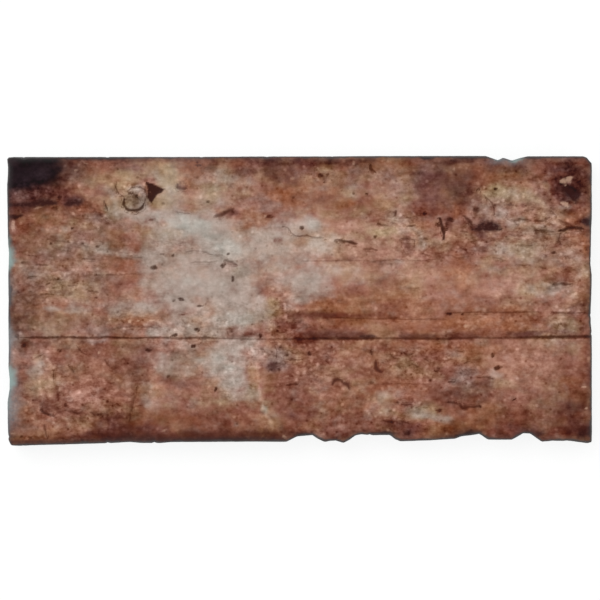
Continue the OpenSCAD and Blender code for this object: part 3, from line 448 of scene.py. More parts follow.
# Cracks and edges: half width, darkness in percent, then their points.
CRACKS = [
    (0.2, 45, [
        (-6, 25.6), (-4, 25), (-2.4, 22.8), (-1, 22), (2.5, 22.4), (5, 21.6), (7.5, 21.7), (9.4, 20.8),
    ]),
    (0.48, 85, [(13.2, 20.9), (14.6, 20.5), (16.4, 20.2), (19.2, 19.5)]),
    (0.2, 50, [(11.6, 20.6), (13.6, 21)]),
    (0.34, 45, [(22.4, 17.7), (24.2, 17.8), (26.6, 17.3)]),
    (0.2, 60, [(36.2, 25.4), (38, 25.6), (39.6, 25.8)]),
    (0.3, 50, [(26.6, 26.4), (28, 25.9), (30, 25.8)]),
    (0.18, 25, [(0, 13.9), (9, 13.6), (15, 14), (25, 13.5), (33, 14.1), (40, 13.8), (48, 14.3)]),
    (0.4, 100, [(48, 28.2), (48.4, 26.4), (48.7, 24.6), (49.4, 23.6), (49.2, 21.2)]),
    (0.4, 80, [(47, 26.4), (48.4, 25.4), (49.6, 24.6), (50.6, 24.8)]),
    (0.45, 70, [(56.2, 28.9), (57.4, 27.9), (58.8, 26.2)]),
    (0.2, 55, [(60.4, 37.4), (61.2, 38.6), (61.8, 37.2)]),
    (0.22, 50, [(62.6, 36.4), (64, 35), (65.6, 33.6), (66.4, 31.6), (66.6, 29.6)]),
    (0.4, 55, [(80.8, 27.3), (83, 27.4), (85.2, 28.4)]),
    (0.4, 35, [(73.4, 27.4), (75.4, 27.8), (78.6, 27.7)]),
    (0.42, 50, [(80.6, 24.1), (83.2, 23.9), (86.6, 23.7)]),
    (0.5, 75, [(88.8, 23.9), (91.4, 24.6), (93.8, 25), (96.4, 24.8)]),
    (0.36, 40, [(88.6, 27.6), (90.8, 26.6), (93, 25.6), (94.6, 25.1)]),
    (0.2, 50, [(88.8, 22.8), (88.6, 20.6), (89.4, 19)]),
    (0.35, 25, [(74.4, 19.2), (77, 18.7), (79.4, 18.9)]),
    (0.3, 25, [(66.4, 14.9), (68.4, 14.2), (70.4, 13.9)]),
    (0.42, 60, [(86.6, 5.6), (89.5, 5.8), (92.6, 5.7)]),
    (0.25, 20, [(50.4, 15.6), (54, 14.6), (57.6, 15)]),
    (0.4, 80, [(-97.4, 28.6), (-95.4, 28.8)]),
    (0.2, 55, [(-66.8, 34.2), (-66.2, 32.4), (-65.4, 30.6)]),
    (0.4, 95, [
        (-60, 34.8), (-60.3, 33.2), (-59.4, 31.6), (-57.6, 31), (-55.4, 30.9), (-53.8, 31.8), (-53.2, 32.8),
    ]),
    (0.2, 50, [(-62.6, 40.6), (-62.8, 38.6), (-61.8, 36.6), (-60.4, 35.6)]),
    (0.22, 50, [(-58.6, 37.6), (-57, 38.8), (-54.8, 39), (-52.8, 38), (-52.2, 35.6), (-53, 33.4)]),
    (0.25, 15, [(-50, 20.3), (-46, 20.3), (-44, 20)]),
    (0.25, 15, [(-43, 21), (-41, 20.3), (-38.4, 20.1)]),
    (0.25, 30, [(-42.4, 30.6), (-40, 30), (-37, 29.7)]),
    (0.25, 25, [(-39, 16.6), (-36, 17.2), (-32, 16.6), (-30, 15.7), (-26.4, 15.6)]),
    (0.25, 24, [(-37.2, 12.9), (-35, 13.3), (-31, 13.2), (-28, 13.6)]),
    (0.35, 40, [(-25.6, 13.9), (-23.6, 13.4), (-21.4, 12.4)]),
    (0.5, 45, [(-28.8, 29), (-26.6, 29.4), (-25, 30.6), (-23.6, 31.2), (-22.8, 30.2)]),
    (0.4, 60, [(-41.8, 39.8), (-41.6, 38.6), (-40.2, 38.3), (-38.8, 38.5)]),
    (0.4, 60, [(24.2, 46.6), (24.2, 45), (26, 43.9)]),
    (0.35, 15, [(-9.2, 46.6), (-9, 44), (-7.8, 41.6), (-6.6, 40.2)]),
    (0.2, 30, [(-66, 9.1), (-60, 9), (-56, 9.2)]),
    (0.3, 25, [(-62, -9), (-55, -8.8), (-49, -9.1)]),
    (0.25, 40, [(-83.8, -23.6), (-84, -25.6), (-84, -28)]),
    (0.35, 25, [(-83, -29), (-82.6, -31), (-82.4, -33.4)]),
    (0.5, 60, [(-88.4, -36.6), (-87.4, -38), (-85.4, -38.8), (-84, -39.2)]),
    (0.3, 40, [(-80.2, -37.4), (-77.8, -37.9), (-75, -38.6)]),
    (0.3, 30, [(-71.4, -38), (-70, -39), (-66.8, -38.6)]),
    (0.25, 35, [(-87.4, -42), (-86.8, -44.4), (-86.2, -47)]),
    (0.3, 15, [(-56, -30), (-56.8, -33), (-57.8, -36), (-58, -40)]),
    (0.24, 30, [(10.8, -5.6), (16, -5.8), (24, -6.1), (32, -6), (36, -6.4), (44, -6.2), (50, -6.3)]),
    (0.24, 30, [(50, -4.1), (58, -3.9), (70, -4), (82, -3.7)]),
    (0.3, 40, [(86, -3.9), (92, -4.1), (97.6, -4.1)]),
    (0.45, 45, [(26, -20.6), (26, -22.6), (27, -23.8), (28.2, -24.2)]),
    (0.35, 50, [(24.4, -17), (24.8, -18.4)]),
    (0.35, 40, [(11.4, -28.6), (11.8, -27.2), (13, -26.7), (14.6, -27.2)]),
    (0.45, 40, [(14.6, -27.8), (16, -28.4), (17, -29.8)]),
    (0.24, 14, [(18.4, -28.9), (24, -28.4), (31, -28.3), (38, -28.4), (45.6, -28.6)]),
    (0.3, 50, [(61, -26.2), (63.6, -26), (66, -26.6)]),
    (0.3, 55, [(50.6, -34.6), (53.6, -35), (55.4, -36), (57, -36.4), (61.6, -36.2)]),
    (0.35, 60, [(54.6, -34.8), (55.4, -36.4), (57, -37)]),
    (0.35, 45, [(-4.6, -28.8), (-2.6, -28.4), (-0.8, -28.4)]),
    (0.25, 40, [(-4.2, -20), (-1.4, -20.1), (1, -20)]),
    (0.35, 30, [(28.6, -40.8), (31, -41.4), (34.6, -41.2), (37.4, -41.8)]),
    (0.3, 20, [(36, 4.7), (38, 4.2), (40.6, 4.4)]),
    (0.2, 25, [(34.6, 21), (34.8, 18.4), (36.4, 15.8), (38, 16.4)]),
    (0.2, 35, [(34.8, 21.4), (37.4, 21.3), (39.4, 20.6), (39.2, 18.4)]),
    (0.3, 50, [(51, -27.8), (53, -27.6)]),
    (0.2, 45, [(-8.6, -15.2), (-7.6, -17.4), (-8, -19.6)]),
    (0.25, 25, [(-86.4, 21), (-82, 20.4), (-77, 19.6), (-72.6, 19.6)]),
    (0.25, 20, [(-63, 14.6), (-58, 14.6), (-54, 14.9)]),
    (0.35, 25, [(62.4, 20.6), (64.6, 20.2), (66.4, 20.8)]),
    (0.35, 25, [(72, 22.6), (74.4, 22), (76, 22.4)]),
    (0.3, 35, [(90.6, 15.4), (93, 14.6)]),
    (0.25, 35, [(74, 12.4), (76.6, 12), (78.6, 12.4)]),
    (0.3, 35, [(82, 11.6), (84.4, 10.8)]),
    (0.3, 15, [(90, 10.4), (92, 11.4), (94, 10.6)]),
    (0.3, 35, [(70.6, 33), (73, 32.6)]),
    (0.3, 35, [(77, 30.8), (79.6, 31.2)]),
    (0.25, 35, [(86, 30.6), (87.6, 29.4)]),
    (0.3, 35, [(55, 24), (57.4, 23.4)]),
    (0.3, 35, [(42, 16), (44.4, 15.4)]),
    (0.3, 35, [(31, -18.4), (32.6, -19.6)]),
    (0.3, 40, [(35.4, -17.6), (37, -18.6), (38.6, -18)]),
    (0.3, 40, [(38.4, -21.4), (40.4, -22.4)]),
    (0.3, 35, [(33, -22), (34.6, -23)]),
    (0.3, 35, [(42.4, -19.6), (44, -20.6)]),
    (0.3, 35, [(46.4, -24.4), (48, -23)]),
    (0.3, 35, [(54, -17), (56, -17.6)]),
    (0.3, 35, [(56.4, -21.4), (58, -20.6)]),
    (0.25, 35, [(-93, 15.4), (-89.6, 15.2)]),
    (0.25, 35, [(-90, 12.4), (-86, 12.2)]),
    (0.25, 35, [(-84, 7.4), (-81, 7.2)]),
    (0.25, 35, [(-79, 5.2), (-76, 5.4)]),
    (0.25, 40, [(-88, 2.4), (-84, 2.2)]),
    (0.25, 35, [(-74, 14.4), (-70, 14.2)]),
    (0.25, 35, [(-93, 8), (-90, 8.4)]),
    (0.25, 35, [(-72, 3.4), (-69, 3)]),
    (0.3, 35, [(-76, -15.6), (-74.4, -17.6), (-72.8, -18.4)]),
    (0.3, 35, [(-79, -22), (-77, -24.4)]),
    (0.3, 35, [(-66.6, -20), (-65, -22.4)]),
    (0.3, 35, [(-90.4, -19.6), (-88, -18.4)]),
    (0.25, 35, [(-55.4, -29), (-56.6, -34), (-58.2, -41)]),
    (0.25, 45, [(34.8, -35.4), (36.6, -35.7), (38.4, -35.2)]),
]

# The shard beside the pebble left a black hollow in the shape of an arrowhead.
ARROWHEAD = [
    (-52.6, 40.6), (-50, 39.9), (-46, 37.9), (-48.8, 36.2), (-50.6, 33.4), (-52, 35.4), (-51.6, 38),
]

# Soft drawn-out strokes in the form of cracks: brown smears, pale ridges that stand proud, black
# char and a red-brown blush.
SMEAR = [
    (1.3, 55, [(2, -11.6), (8, -11.4), (16, -11.7), (24, -12)]),
    (0.8, 65, [(34, -12.1), (40, -12.2), (46, -12.2)]),
    (1, 50, [(50, -11.8), (56, -11.9), (61, -12.2)]),
    (1, 50, [(71, -11.4), (76, -11.6), (82, -11.6)]),
    (1.1, 50, [(-2, -4.6), (5, -4.6), (12, -5)]),
    (0.5, 25, [(15, -5.3), (28, -5.5), (40, -5.8)]),
    (0.8, 35, [(13.4, 14), (15.6, 14.2), (18, 13.8)]),
    (1, 40, [(61.6, 24), (62.4, 22.4), (64, 21.4)]),
    (0.7, 40, [(-88.6, -35.6), (-87, -36.8), (-84.6, -38)]),
    (1.6, 40, [(-87, -35.4), (-84.6, -36.4)]),
    (1.2, 40, [(-25, 30.4), (-23, 30.4), (-21.6, 29.6)]),
    (1.6, 45, [(-8.8, 47), (-9, 44), (-7, 41)]),
    (1.6, 35, [(84, -41), (90, -43), (97, -43.6)]),
    (1.3, 35, [(-47, -27), (-40, -29), (-32, -28)]),
    (1, 25, [(-10.6, -21.4), (-8.8, -22.6), (-6.6, -22.8)]),
    (0.9, 45, [(50.6, -34.6), (54, -36), (61.6, -36.2)]),
    (0.7, 40, [(-93, -5.4), (-96, -6.4), (-98, -7)]),
    (0.8, 40, [(87, -12.1), (93, -11.9), (98, -12)]),
    (0.7, 30, [(60, 36), (61, 33), (60.4, 31)]),
    (2.4, 35, [(-72, -46.4), (-62, -45.4), (-52, -45.4)]),
    (2.2, 20, [(-62, -42.4), (-56, -41.4), (-51, -42)]),
    (1.8, 50, [(-50, -46.4), (-30, -46), (-4, -46)]),
    (0.9, 50, [(-98.4, -48.2), (-88, -48.4), (-76, -48)]),
    (0.5, 80, [(11.2, -28.4), (11.8, -27.2), (13, -26.8), (14.6, -27.4)]),
    (0.6, 90, [(15, -28), (16.4, -28.6), (17, -29.8)]),
    (0.4, 80, [(26.2, -21), (26.2, -22.8), (27.2, -24), (28, -24.2)]),
    (0.7, 45, [(24.4, -17), (24.8, -18.2)]),
    (1.4, 45, [(35.6, 20), (37.4, 18.6), (38, 17)]),
    (0.7, 50, [(34.6, 21.2), (37.4, 21.4), (39.6, 20.8)]),
    (0.9, 40, [(-85, 3), (-81, 2.8), (-78, 2.6)]),
    (0.8, 40, [(-98, 5), (-93, 5.6), (-88, 5)]),
    (0.8, 40, [(-95, 2), (-90, 1.6), (-87, 2)]),
    (1.4, 40, [(62, -28), (64.6, -29.4), (66, -27)]),
    (1.6, 45, [(52, -31), (56, -33), (60, -32)]),
    (0.8, 40, [(57, 28), (58.4, 26.6), (59.4, 25.6)]),
    (1.6, 40, [(28.6, -41.4), (33, -42.4), (38, -42)]),
    (0.8, 50, [(-52.8, -16.6), (-51, -17)]),
    (1, 45, [(-95.4, -16), (-93.6, -15), (-92.6, -14.8)]),
    (0.9, 50, [(7, 43), (9, 41.6), (9.6, 43)]),
    (0.7, 40, [(1.8, -16.2), (0.4, -15.6)]),
    (0.6, 50, [(3, -17.4), (3.6, -18.6)]),
    (0.8, 50, [(60.6, 31.4), (59.8, 30.6)]),
    (0.9, 50, [(50, 27.6), (52, 27.8)]),
    (0.8, 35, [(88, 22.8), (88.6, 20.4), (89.4, 18.8)]),
    (1.2, 25, [(-57, -31), (-57.6, -35), (-58.4, -39.4)]),
    (0.8, 45, [(-80, -36.6), (-77, -38.2), (-74.4, -38.4)]),
    (0.8, 40, [(-71, -38), (-68.4, -38.8), (-66, -38.6)]),
    (0.6, 45, [(-87.2, -42.4), (-86.8, -45), (-86, -47)]),
    (0.8, 40, [(-28.8, 28.8), (-26.6, 29.3), (-24.8, 30.2)]),
    (1.4, 35, [(-99, 31), (-92, 31.4), (-86, 31.8)]),
    (1, 25, [(36, 21), (37.2, 19.4), (37, 17)]),
    (0.6, 45, [(-41.2, 40.2), (-40, 40.6), (-39, 40.2)]),
    (0.9, 40, [(-41.4, 39.6), (-39, 39.4)]),
]
RIDGE = [
    (0.6, 60, [(-14.6, -20.6), (-14.2, -26), (-13.4, -32), (-12.4, -36.4)]),
    (0.5, 40, [(-11.6, -38.6), (-10, -41), (-9, -44)]),
    (0.4, 60, [(-88.2, -38), (-86, -38.8), (-84.6, -38.9)]),
    (0.6, 40, [(81.6, 41.4), (83.6, 38.6), (86.4, 35.4), (89, 33.6)]),
    (0.4, 50, [(-68.5, 2), (-68.3, -1), (-68.8, -4)]),
    (0.4, 45, [(-51, -6.7), (-48, -6.6)]),
    (0.3, 40, [(-84, 10), (-80, 9.6), (-76, 9.7)]),
    (0.3, 30, [(13, 21.5), (16, 21.1), (19, 20.4)]),
    (0.4, 50, [(61.8, 38), (63, 36.4), (62.6, 34.6)]),
    (0.3, 30, [(53.4, 30.6), (53.2, 27), (52, 24)]),
    (0.3, 45, [(-72, -13.5), (-66, -13.6), (-60, -13.5)]),
    (0.4, 30, [(-56, -32), (-56.8, -29)]),
    (0.3, 35, [(84, -13.4), (90, -13.3), (96, -13.4)]),
    (0.4, 30, [(50, 20), (51.4, 23)]),
    (0.8, 80, [(-97.9, 28), (-98, 26), (-97.9, 23.8)]),
    (0.4, 50, [(-65.8, 34), (-65.2, 32), (-64.6, 30.4)]),
    (0.3, 40, [(42, 20), (42.8, 18.2), (41.4, 16.8)]),
]
CHAR = [
    (0.8, 90, [(-99.6, 32.8), (-95, 32.8), (-90, 33), (-85, 33.2)]),
    (1.3, 85, [(-79.6, 33), (-77.4, 33.8), (-74.8, 33.8)]),
    (0.8, 70, [(-99, 28.8), (-96.4, 28.8), (-94.8, 29.2)]),
    (0.6, 80, [(-86, 48.8), (-76, 48.6), (-66, 48.6), (-58, 48.9)]),
    (1.5, 80, [(60.8, 25.2), (63, 26), (65.4, 26.2), (67.6, 25.2)]),
    (0.7, 80, [(58.8, 24.4), (62, 24.3), (65, 24.6), (68.8, 24.4)]),
    (1.6, 95, [(97, 27), (99, 27), (100, 26.8)]),
    (0.5, 60, [(48.2, 28), (48.7, 26), (49.1, 23.4), (49.3, 21)]),
    (1.3, 90, [(90.4, 38.8), (92.4, 37.4), (93.8, 35.6), (94.2, 33.6)]),
    (1.3, 30, [(87.4, 38.6), (90, 37.8), (92, 37.2)]),
    (0.6, 60, [(20.6, -12.3), (22.6, -12.2), (25.6, -12)]),
    (0.6, 35, [(-10, -22), (-8.8, -23), (-7.2, -23.2)]),
    (0.5, 30, [(-9, -21.4), (-7.8, -21.2)]),
    (0.5, 25, [(-28.6, 28.9), (-26.6, 29.4), (-24.8, 30.4), (-23, 31.2)]),
    (1.2, 60, [(-74, -48.2), (-62, -47.6), (-50, -47.8)]),
    (0.8, 60, [(-50, -48), (-36, -47.6), (-20, -47.2), (-5, -47.2)]),
    (0.6, 60, [(23.6, -45.2), (27, -45.4), (31, -45)]),
    (0.5, 50, [(0.4, -45.6), (3, -45.6), (5, -45.8)]),
    (1.6, 70, [(95.6, -45.6), (98, -45.4), (100, -45)]),
    (0.7, 50, [(54, -46), (58, -45.4), (62, -44.8)]),
    (0.8, 30, [(35.6, -44.8), (37.4, -45.8), (38.4, -46)]),
    (0.9, 60, [(-99.2, 5), (-99, 2), (-98.8, -1)]),
    (0.7, 50, [(-99.4, 21.4), (-98.8, 20.6), (-98.8, 19.6)]),
    (0.4, 70, [(89, 24), (91.6, 24.6), (94, 25), (96.6, 24.9)]),
    (0.8, 80, [(42, 49.2), (44, 49), (46, 49.2)]),
    (0.5, 50, [(50, 49), (58, 48.8), (64, 49)]),
    (0.4, 60, [(-88.6, -37.4), (-87, -38.4), (-85, -39.2)]),
    (1.2, 45, [(-98, -48.4), (-86, -48.4), (-74, -48.2)]),
    (1, 90, [(-90, 33.8), (-87, 33.8), (-83, 33.4)]),
    (0.9, 60, [(95.6, 38), (95.2, 35.8)]),
]
BLUSH = [
    (0.7, 80, [(-41.6, 39.4), (-40.6, 38.7), (-38.8, 38.9)]),
    (0.8, 80, [(-11.4, 28.6), (-10, 28.8), (-8.8, 28.8)]),
    (0.9, 45, [(-8.6, 20.6), (-6.4, 21)]),
    (0.7, 50, [(6, -4.6), (14, -4.9), (22, -5.1)]),
    (1.4, 50, [(85.6, 7.8), (88.6, 7.4), (92, 7.6)]),
    (1, 70, [(46.8, -37.4), (48.2, -37.8)]),
    (0.9, 50, [(88.6, 43.6), (90.6, 43.4)]),
    (0.9, 50, [(85.6, 40.6), (86.4, 38.6), (86, 36)]),
    (0.9, 60, [(11, -28.4), (11.8, -27.2), (13, -26.8), (14.8, -27.6)]),
    (1, 70, [(15, -28), (16.4, -28.6), (17, -29.8)]),
    (0.7, 70, [(26.2, -20.8), (26.2, -22.8), (27.2, -24), (28.4, -24.2)]),
    (1, 50, [(-18.6, -11.2), (-15.8, -12)]),
    (0.9, 50, [(-8.8, 20.4), (-6, 21.2)]),
    (1.6, 35, [(-14.4, 6), (-12, 4), (-9.4, 2.6)]),
    (1, 50, [(-52.6, 27), (-50.4, 28), (-49.4, 28.4)]),
    (0.7, 45, [(-41, -4.8), (-39, -4.6)]),
    (0.8, 25, [(-46, 20.4), (-40, 20.6), (-35, 19)]),
    (0.8, 40, [(-24, 12.6), (-21.4, 11.8)]),
    (0.9, 45, [(-83, -29.4), (-83.1, -32), (-82, -34)]),
    (1.1, 40, [(-87.6, -35.4), (-85, -35), (-82.4, -34)]),
    (0.6, 50, [(34.8, -35.5), (36.6, -35.8), (38.6, -35.3)]),
]
STROKES = dict(smear=SMEAR, ridge=RIDGE, char=CHAR, blush=BLUSH)

# The long crease across the tile, left to right, and the row of the mesh that follows it.
LONG_CREASE = [
    (-94, -12.5), (-86, -12.6), (-80, -12.4), (-72, -12.7), (-66, -12.4), (-56, -12.8), (-48, -12.5),
    (-40, -12.9), (-36, -12.6), (-28, -12.8), (-18, -13.1), (-9, -13.1), (0, -13), (10, -12.9), (22, -12.9),
    (30, -12.8), (42, -12.9), (50, -13), (60, -12.6), (72, -12.7), (84, -12.4), (99, -12.2),
]
CREASE_ROW = LONG_CREASE[len(LONG_CREASE) // 2][1]
# Along it: x, half width, darkness in percent.
CREASE_LOOK = [
    (-96, 0.1, 18), (-91, 0.3, 63), (-82, 0.32, 66), (-64, 0.3, 66), (-52, 0.24, 50), (-42, 0.3, 60),
    (-31, 0.32, 66), (-27, 0.2, 30), (-18, 0.24, 36), (-10, 0.24, 30), (2, 0.34, 60), (20, 0.4, 75),
    (25, 0.4, 75), (28, 0.24, 36), (34, 0.32, 50), (46, 0.32, 48), (56, 0.34, 50), (63, 0.26, 38),
    (72, 0.34, 55), (84, 0.38, 72), (99, 0.38, 78),
]

# Old brick grit that stands a little proud, or a hollow: x, y, half length, half width, height and,
# where one lies askew, its turn.
KNOTS = [
    (-56.4, 34.6, 4, 3.2, 0.35, 25), (-2.6, 42.2, 4, 3, 0.2), (37, 18.8, 2.6, 2.8, 0.25),
    (-77.4, 33.8, 3, 1.6, -0.3), (-86, -36.2, 3.2, 2, -0.3, -15), (92.8, 36.8, 2.2, 3.8, -0.3, 35),
    (98, 27.2, 2.2, 1.5, -0.35), (56.4, -26.4, 4.4, 4, 0.15), (64.4, 25.4, 4.8, 1.5, -0.2),
    (-69, 18.8, 1.7, 1.4, 0.15), (-40.2, 39.2, 1.6, 1.1, 0.15),
]


# ---- plain maths
# The lumps of noise repeat after this many, and the gain brings them to about -1 to 1.
NOISE_CELLS = 512
NOISE_GAIN = 1.5
# Further than any two places on the tile, and a square's corners in order.
FAR = 1e3
SQUARE = [(-1, -1), (1, -1), (1, 1), (-1, 1)]
# A soft mark fades at this rate, which leaves half of it on its edge. A spot fades between two edges.
FADE_RATE = 0.7
SPOT_EDGE = (1.45, 0.55)
# A stroke narrows by this share towards its ends, and its width is uneven by the next.
TAPER = 0.4
UNEVEN = 0.35


def linear(code):
    """The linear colour of an sRGB hex code."""
    parts = [int(code[i:i + 2], 16) / 255 for i in (1, 3, 5)]
    return [p / 12.92 if p <= 0.04045 else ((p + 0.055) / 1.055) ** 2.4 for p in parts]


def ease(low, high, value):
    """0 at low, 1 at high and an eased rise between them. Low may be the larger."""
    t = np.clip((value - low) / (high - low), 0, 1)
    return t * t * (3 - 2 * t)


def between(start, end, share):
    """The value a share of the way from start to end."""
    return start + (end - start) * share


def noise(x, y, size, seed):
    """Even, repeatable lumps of about -1 to 1 that are `size` mm across."""
    turn = np.random.default_rng(seed).uniform(0, 2 * math.pi, (NOISE_CELLS, NOISE_CELLS))
    slope_x, slope_y = np.cos(turn), np.sin(turn)
    x, y = np.broadcast_arrays(x / size, y / size)
    cell_x, cell_y = np.floor(x).astype(int), np.floor(y).astype(int)
    x, y = x - cell_x, y - cell_y

    def corner(i, j):
        column, row = (cell_x + i) % NOISE_CELLS, (cell_y + j) % NOISE_CELLS
        return slope_x[column, row] * (x - i) + slope_y[column, row] * (y - j)

    across, up = (t**3 * (t * (6 * t - 15) + 10) for t in (x, y))
    low = between(corner(0, 0), corner(1, 0), across)
    high = between(corner(0, 1), corner(1, 1), across)
    return NOISE_GAIN * between(low, high, up)


def ripple(along, size, seed):
    """The same kind of lumps along a line."""
    return noise(along, 0.5, size, seed)


def steps(length, step, start, end):
    """Places from 0 to length, `step` apart in the middle and at the given places near each end."""
    start, end = np.array(start), np.array(end)
    count = round((length - start[-1] - end[-1]) / step)
    middle = np.linspace(start[-1], length - end[-1], count + 1)
    return np.concatenate([start[:-1], middle, (length - end[:-1])[::-1]])


def overlay(covers):
    """How strongly covers of 0 to 1 show over one another."""
    return 1 - math.prod(1 - cover for cover in covers)


def reach(x, y, mark):
    """Distance from a mark's middle, 1 on the edge of its oval."""
    centre_x, centre_y, half_length, half_width = mark[:4]
    turn = math.radians(mark[5]) if len(mark) > 5 else 0
    x, y = x - centre_x, y - centre_y
    along = (x * math.cos(turn) + y * math.sin(turn)) / half_length
    across = (y * math.cos(turn) - x * math.sin(turn)) / half_width
    return np.hypot(along, across)


def pool_cover(x, y, pool):
    """How strongly one soft pool shows at each point."""
    return pool[4] / 100 * np.exp(-FADE_RATE * reach(x, y, pool) ** 3)


def spot_cover(x, y, spot):
    """How strongly one spot shows at each point."""
    return spot[4] / 100 * ease(*SPOT_EDGE, reach(x, y, spot))


def line_distance(x, y, start, end):
    """Signed distance from a segment, positive on its left, the share along it, and its length."""
    run_x, run_y = end[0] - start[0], end[1] - start[1]
    length = math.hypot(run_x, run_y)
    share = ((x - start[0]) * run_x + (y - start[1]) * run_y) / length**2
    held = np.clip(share, 0, 1)
    distance = np.hypot(x - start[0] - held * run_x, y - start[1] - held * run_y)
    side = run_x * (y - start[1]) - run_y * (x - start[0])
    return np.where(side < 0, -distance, distance), share, length


def line_offset(x, y, half, points):
    """Signed offset from a drawn-out mark in half widths, and 1 along it, fading past its ends."""
    best, fade = np.full_like(x, FAR), np.zeros_like(x)
    last = len(points) - 2
    for k, (start, end) in enumerate(zip(points, points[1:])):
        distance, share, length = line_distance(x, y, start, end)
        past = np.maximum(-share if k == 0 else 0, share - 1 if k == last else 0) * length
        along = (k + np.clip(share, 0, 1)) / (last + 1)
        taper = 1 - TAPER + TAPER * np.sin(math.pi * along)
        width = half * taper * (1 + UNEVEN * noise(x, y, 1.7, 71))
        nearer = np.abs(distance / width) < np.abs(best)
        best = np.where(nearer, distance / width, best)
        fade = np.where(nearer, 1 - ease(0, 2 * half + 0.3, past), fade)
    return best, fade


def stroke_cover(x, y, stroke):
    """How strongly one soft stroke shows at each point."""
    half, strength, points = stroke
    offset, fade = line_offset(x, y, half, points)
    return strength / 100 * fade * np.exp(-FADE_RATE * offset**2)


# ---- outline from the CAD slab
# Only the floors of the CAD slab's pockets lie between these heights.
POCKET_FLOORS = (0.1, 1.0)
# A level of it is at full size when it is this close to its length.
SLACK = 0.01
# The lines of the sides depend on one another, and settle in this many rounds.
ROUNDS = 4


def cad_points():
    """The corner points of the CAD slab in mm, each once, and the edges that join them."""
    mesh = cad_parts["tile"].data
    every = np.round(np.array([v.co for v in mesh.vertices]) / MM, 3)
    points, index = np.unique(every, axis=0, return_inverse=True)
    index = index.ravel()
    edges = {tuple(sorted((int(index[a]), int(index[b])))) for a, b in (e.vertices for e in mesh.edges)}
    return points, edges


def rim_ring(points, edges):
    """The slab's outline at its highest full-size level, as (x, y) running counter-clockwise."""
    height = points[:, 2]
    level = max(z for z in np.unique(height) if np.ptp(points[height == z, 0]) > LENGTH - SLACK)
    joined = {}
    for a, b in edges:
        if height[a] == height[b] == level:
            joined.setdefault(a, []).append(b)
            joined.setdefault(b, []).append(a)
    walk = [min(joined)]
    while True:
        onward = [p for p in joined[walk[-1]] if p not in walk[-2:]]
        if not onward or onward[0] == walk[0]:
            break
        walk.append(onward[0])
    if len(walk) != len(joined):
        raise RuntimeError("the slab's rim is not one closed line")
    ring = points[walk, :2]
    following = np.roll(ring, -1, 0)
    area = (ring[:, 0] * following[:, 1] - following[:, 0] * ring[:, 1]).sum()
    return ring if area > 0 else ring[::-1]


def rim_sides(points, edges):
    """The rim's front, right, back and left, each a line of (x, y) from corner to corner."""
    ring = rim_ring(points, edges)
    corners = np.array(SQUARE) * (LENGTH / 2, WIDTH / 2)
    found = [int(np.argmin(np.hypot(*(ring - corner).T))) for corner in corners]
    ring = np.roll(ring, -found[0], 0)
    cuts = [(f - found[0]) % len(ring) for f in found] + [len(ring)]
    ring = np.vstack([ring, ring[:1]])
    return [ring[a:b + 1] for a, b in zip(cuts, cuts[1:])]


def crease_line(x):
    """Where the long crease runs at each x."""
    return np.interp(x, *np.array(LONG_CREASE).T)


def bite(along, seed):
    """How far the fired rim falls back from its moulded line, in mm, with a chip now and then."""
    slow = 0.02 * (1 + ripple(along, 5, seed))
    quick = 0.03 * (1 + ripple(along, 1.1, seed + 1))
    chips = 0.4 * ease(0.5, 0.9, ripple(along, 3.2, seed + 2))
    return slow + quick + chips


class Outline:
    """Maps an ideal rectangle onto the slab's real outline, with one row along the long crease."""

    def __init__(self):
        points, edges = cad_points()
        front, right, back, left = rim_sides(points, edges)
        self.front, self.back = front.T, back[::-1].T
        self.left, self.right = left[::-1, ::-1].T, right[:, ::-1].T
        lowest, highest = POCKET_FLOORS
        floors = points[(points[:, 2] > lowest) & (points[:, 2] < highest)]
        self.pocket_x, self.pocket_y = (np.unique(floors[:, k]).reshape(-1, 2) for k in (0, 1))
        self.pocket_depth = float(floors[:, 2].max())

    def place(self, ideal_x, ideal_y):
        """Where a point of the ideal rectangle lands, in mm."""
        x = ideal_x
        share_x = ideal_x / LENGTH + 0.5
        low = (ideal_y + WIDTH / 2) / (CREASE_ROW + WIDTH / 2)
        high = (ideal_y - CREASE_ROW) / (WIDTH / 2 - CREASE_ROW)
        for _ in range(ROUNDS):
            front = np.interp(x, *self.front) + bite(x, 11)
            back = np.interp(x, *self.back) - bite(x, 21)
            crease = crease_line(x)
            y = np.where(low < 1, between(front, crease, low), between(crease, back, high))
            left = np.interp(y, *self.left) + bite(y, 31)
            right = np.interp(y, *self.right) - bite(y, 41)
            x = between(left, right, share_x)
        return x, y


# ---- the worn face
# The rim's wear, and the shade painted near it, reach this far over the face.
RIM_REACH = 6.0
# The arrowhead's edge is this wide.
ARROWHEAD_EDGE = 0.7
# A crack fades out between these offsets, in half widths. Past the limit the offset is of no use.
CRACK_EDGE = (3.4, 2.2)
OFFSET_LIMIT = 4
# Box round a crack that holds all of it.
CRACK_MARGIN = 3
# How far these marks stand up from the face or, below 0, lie in it.
RELIEF = {"cream": 0.08, "ridge": 0.08, "lime": 0.05, "bare": -0.3}
# A knot's own edge, and the groove around it: depth, then place and width as shares of its reach.
KNOT_EDGE = (1.1, 0.6)
GROOVE_DEPTH, GROOVE_PLACE, GROOVE_WIDTH = 0.12, 1.15, 0.15
# The face lies this far below the slab's top, and its highest lumps just reach it.
HEADROOM = 0.25


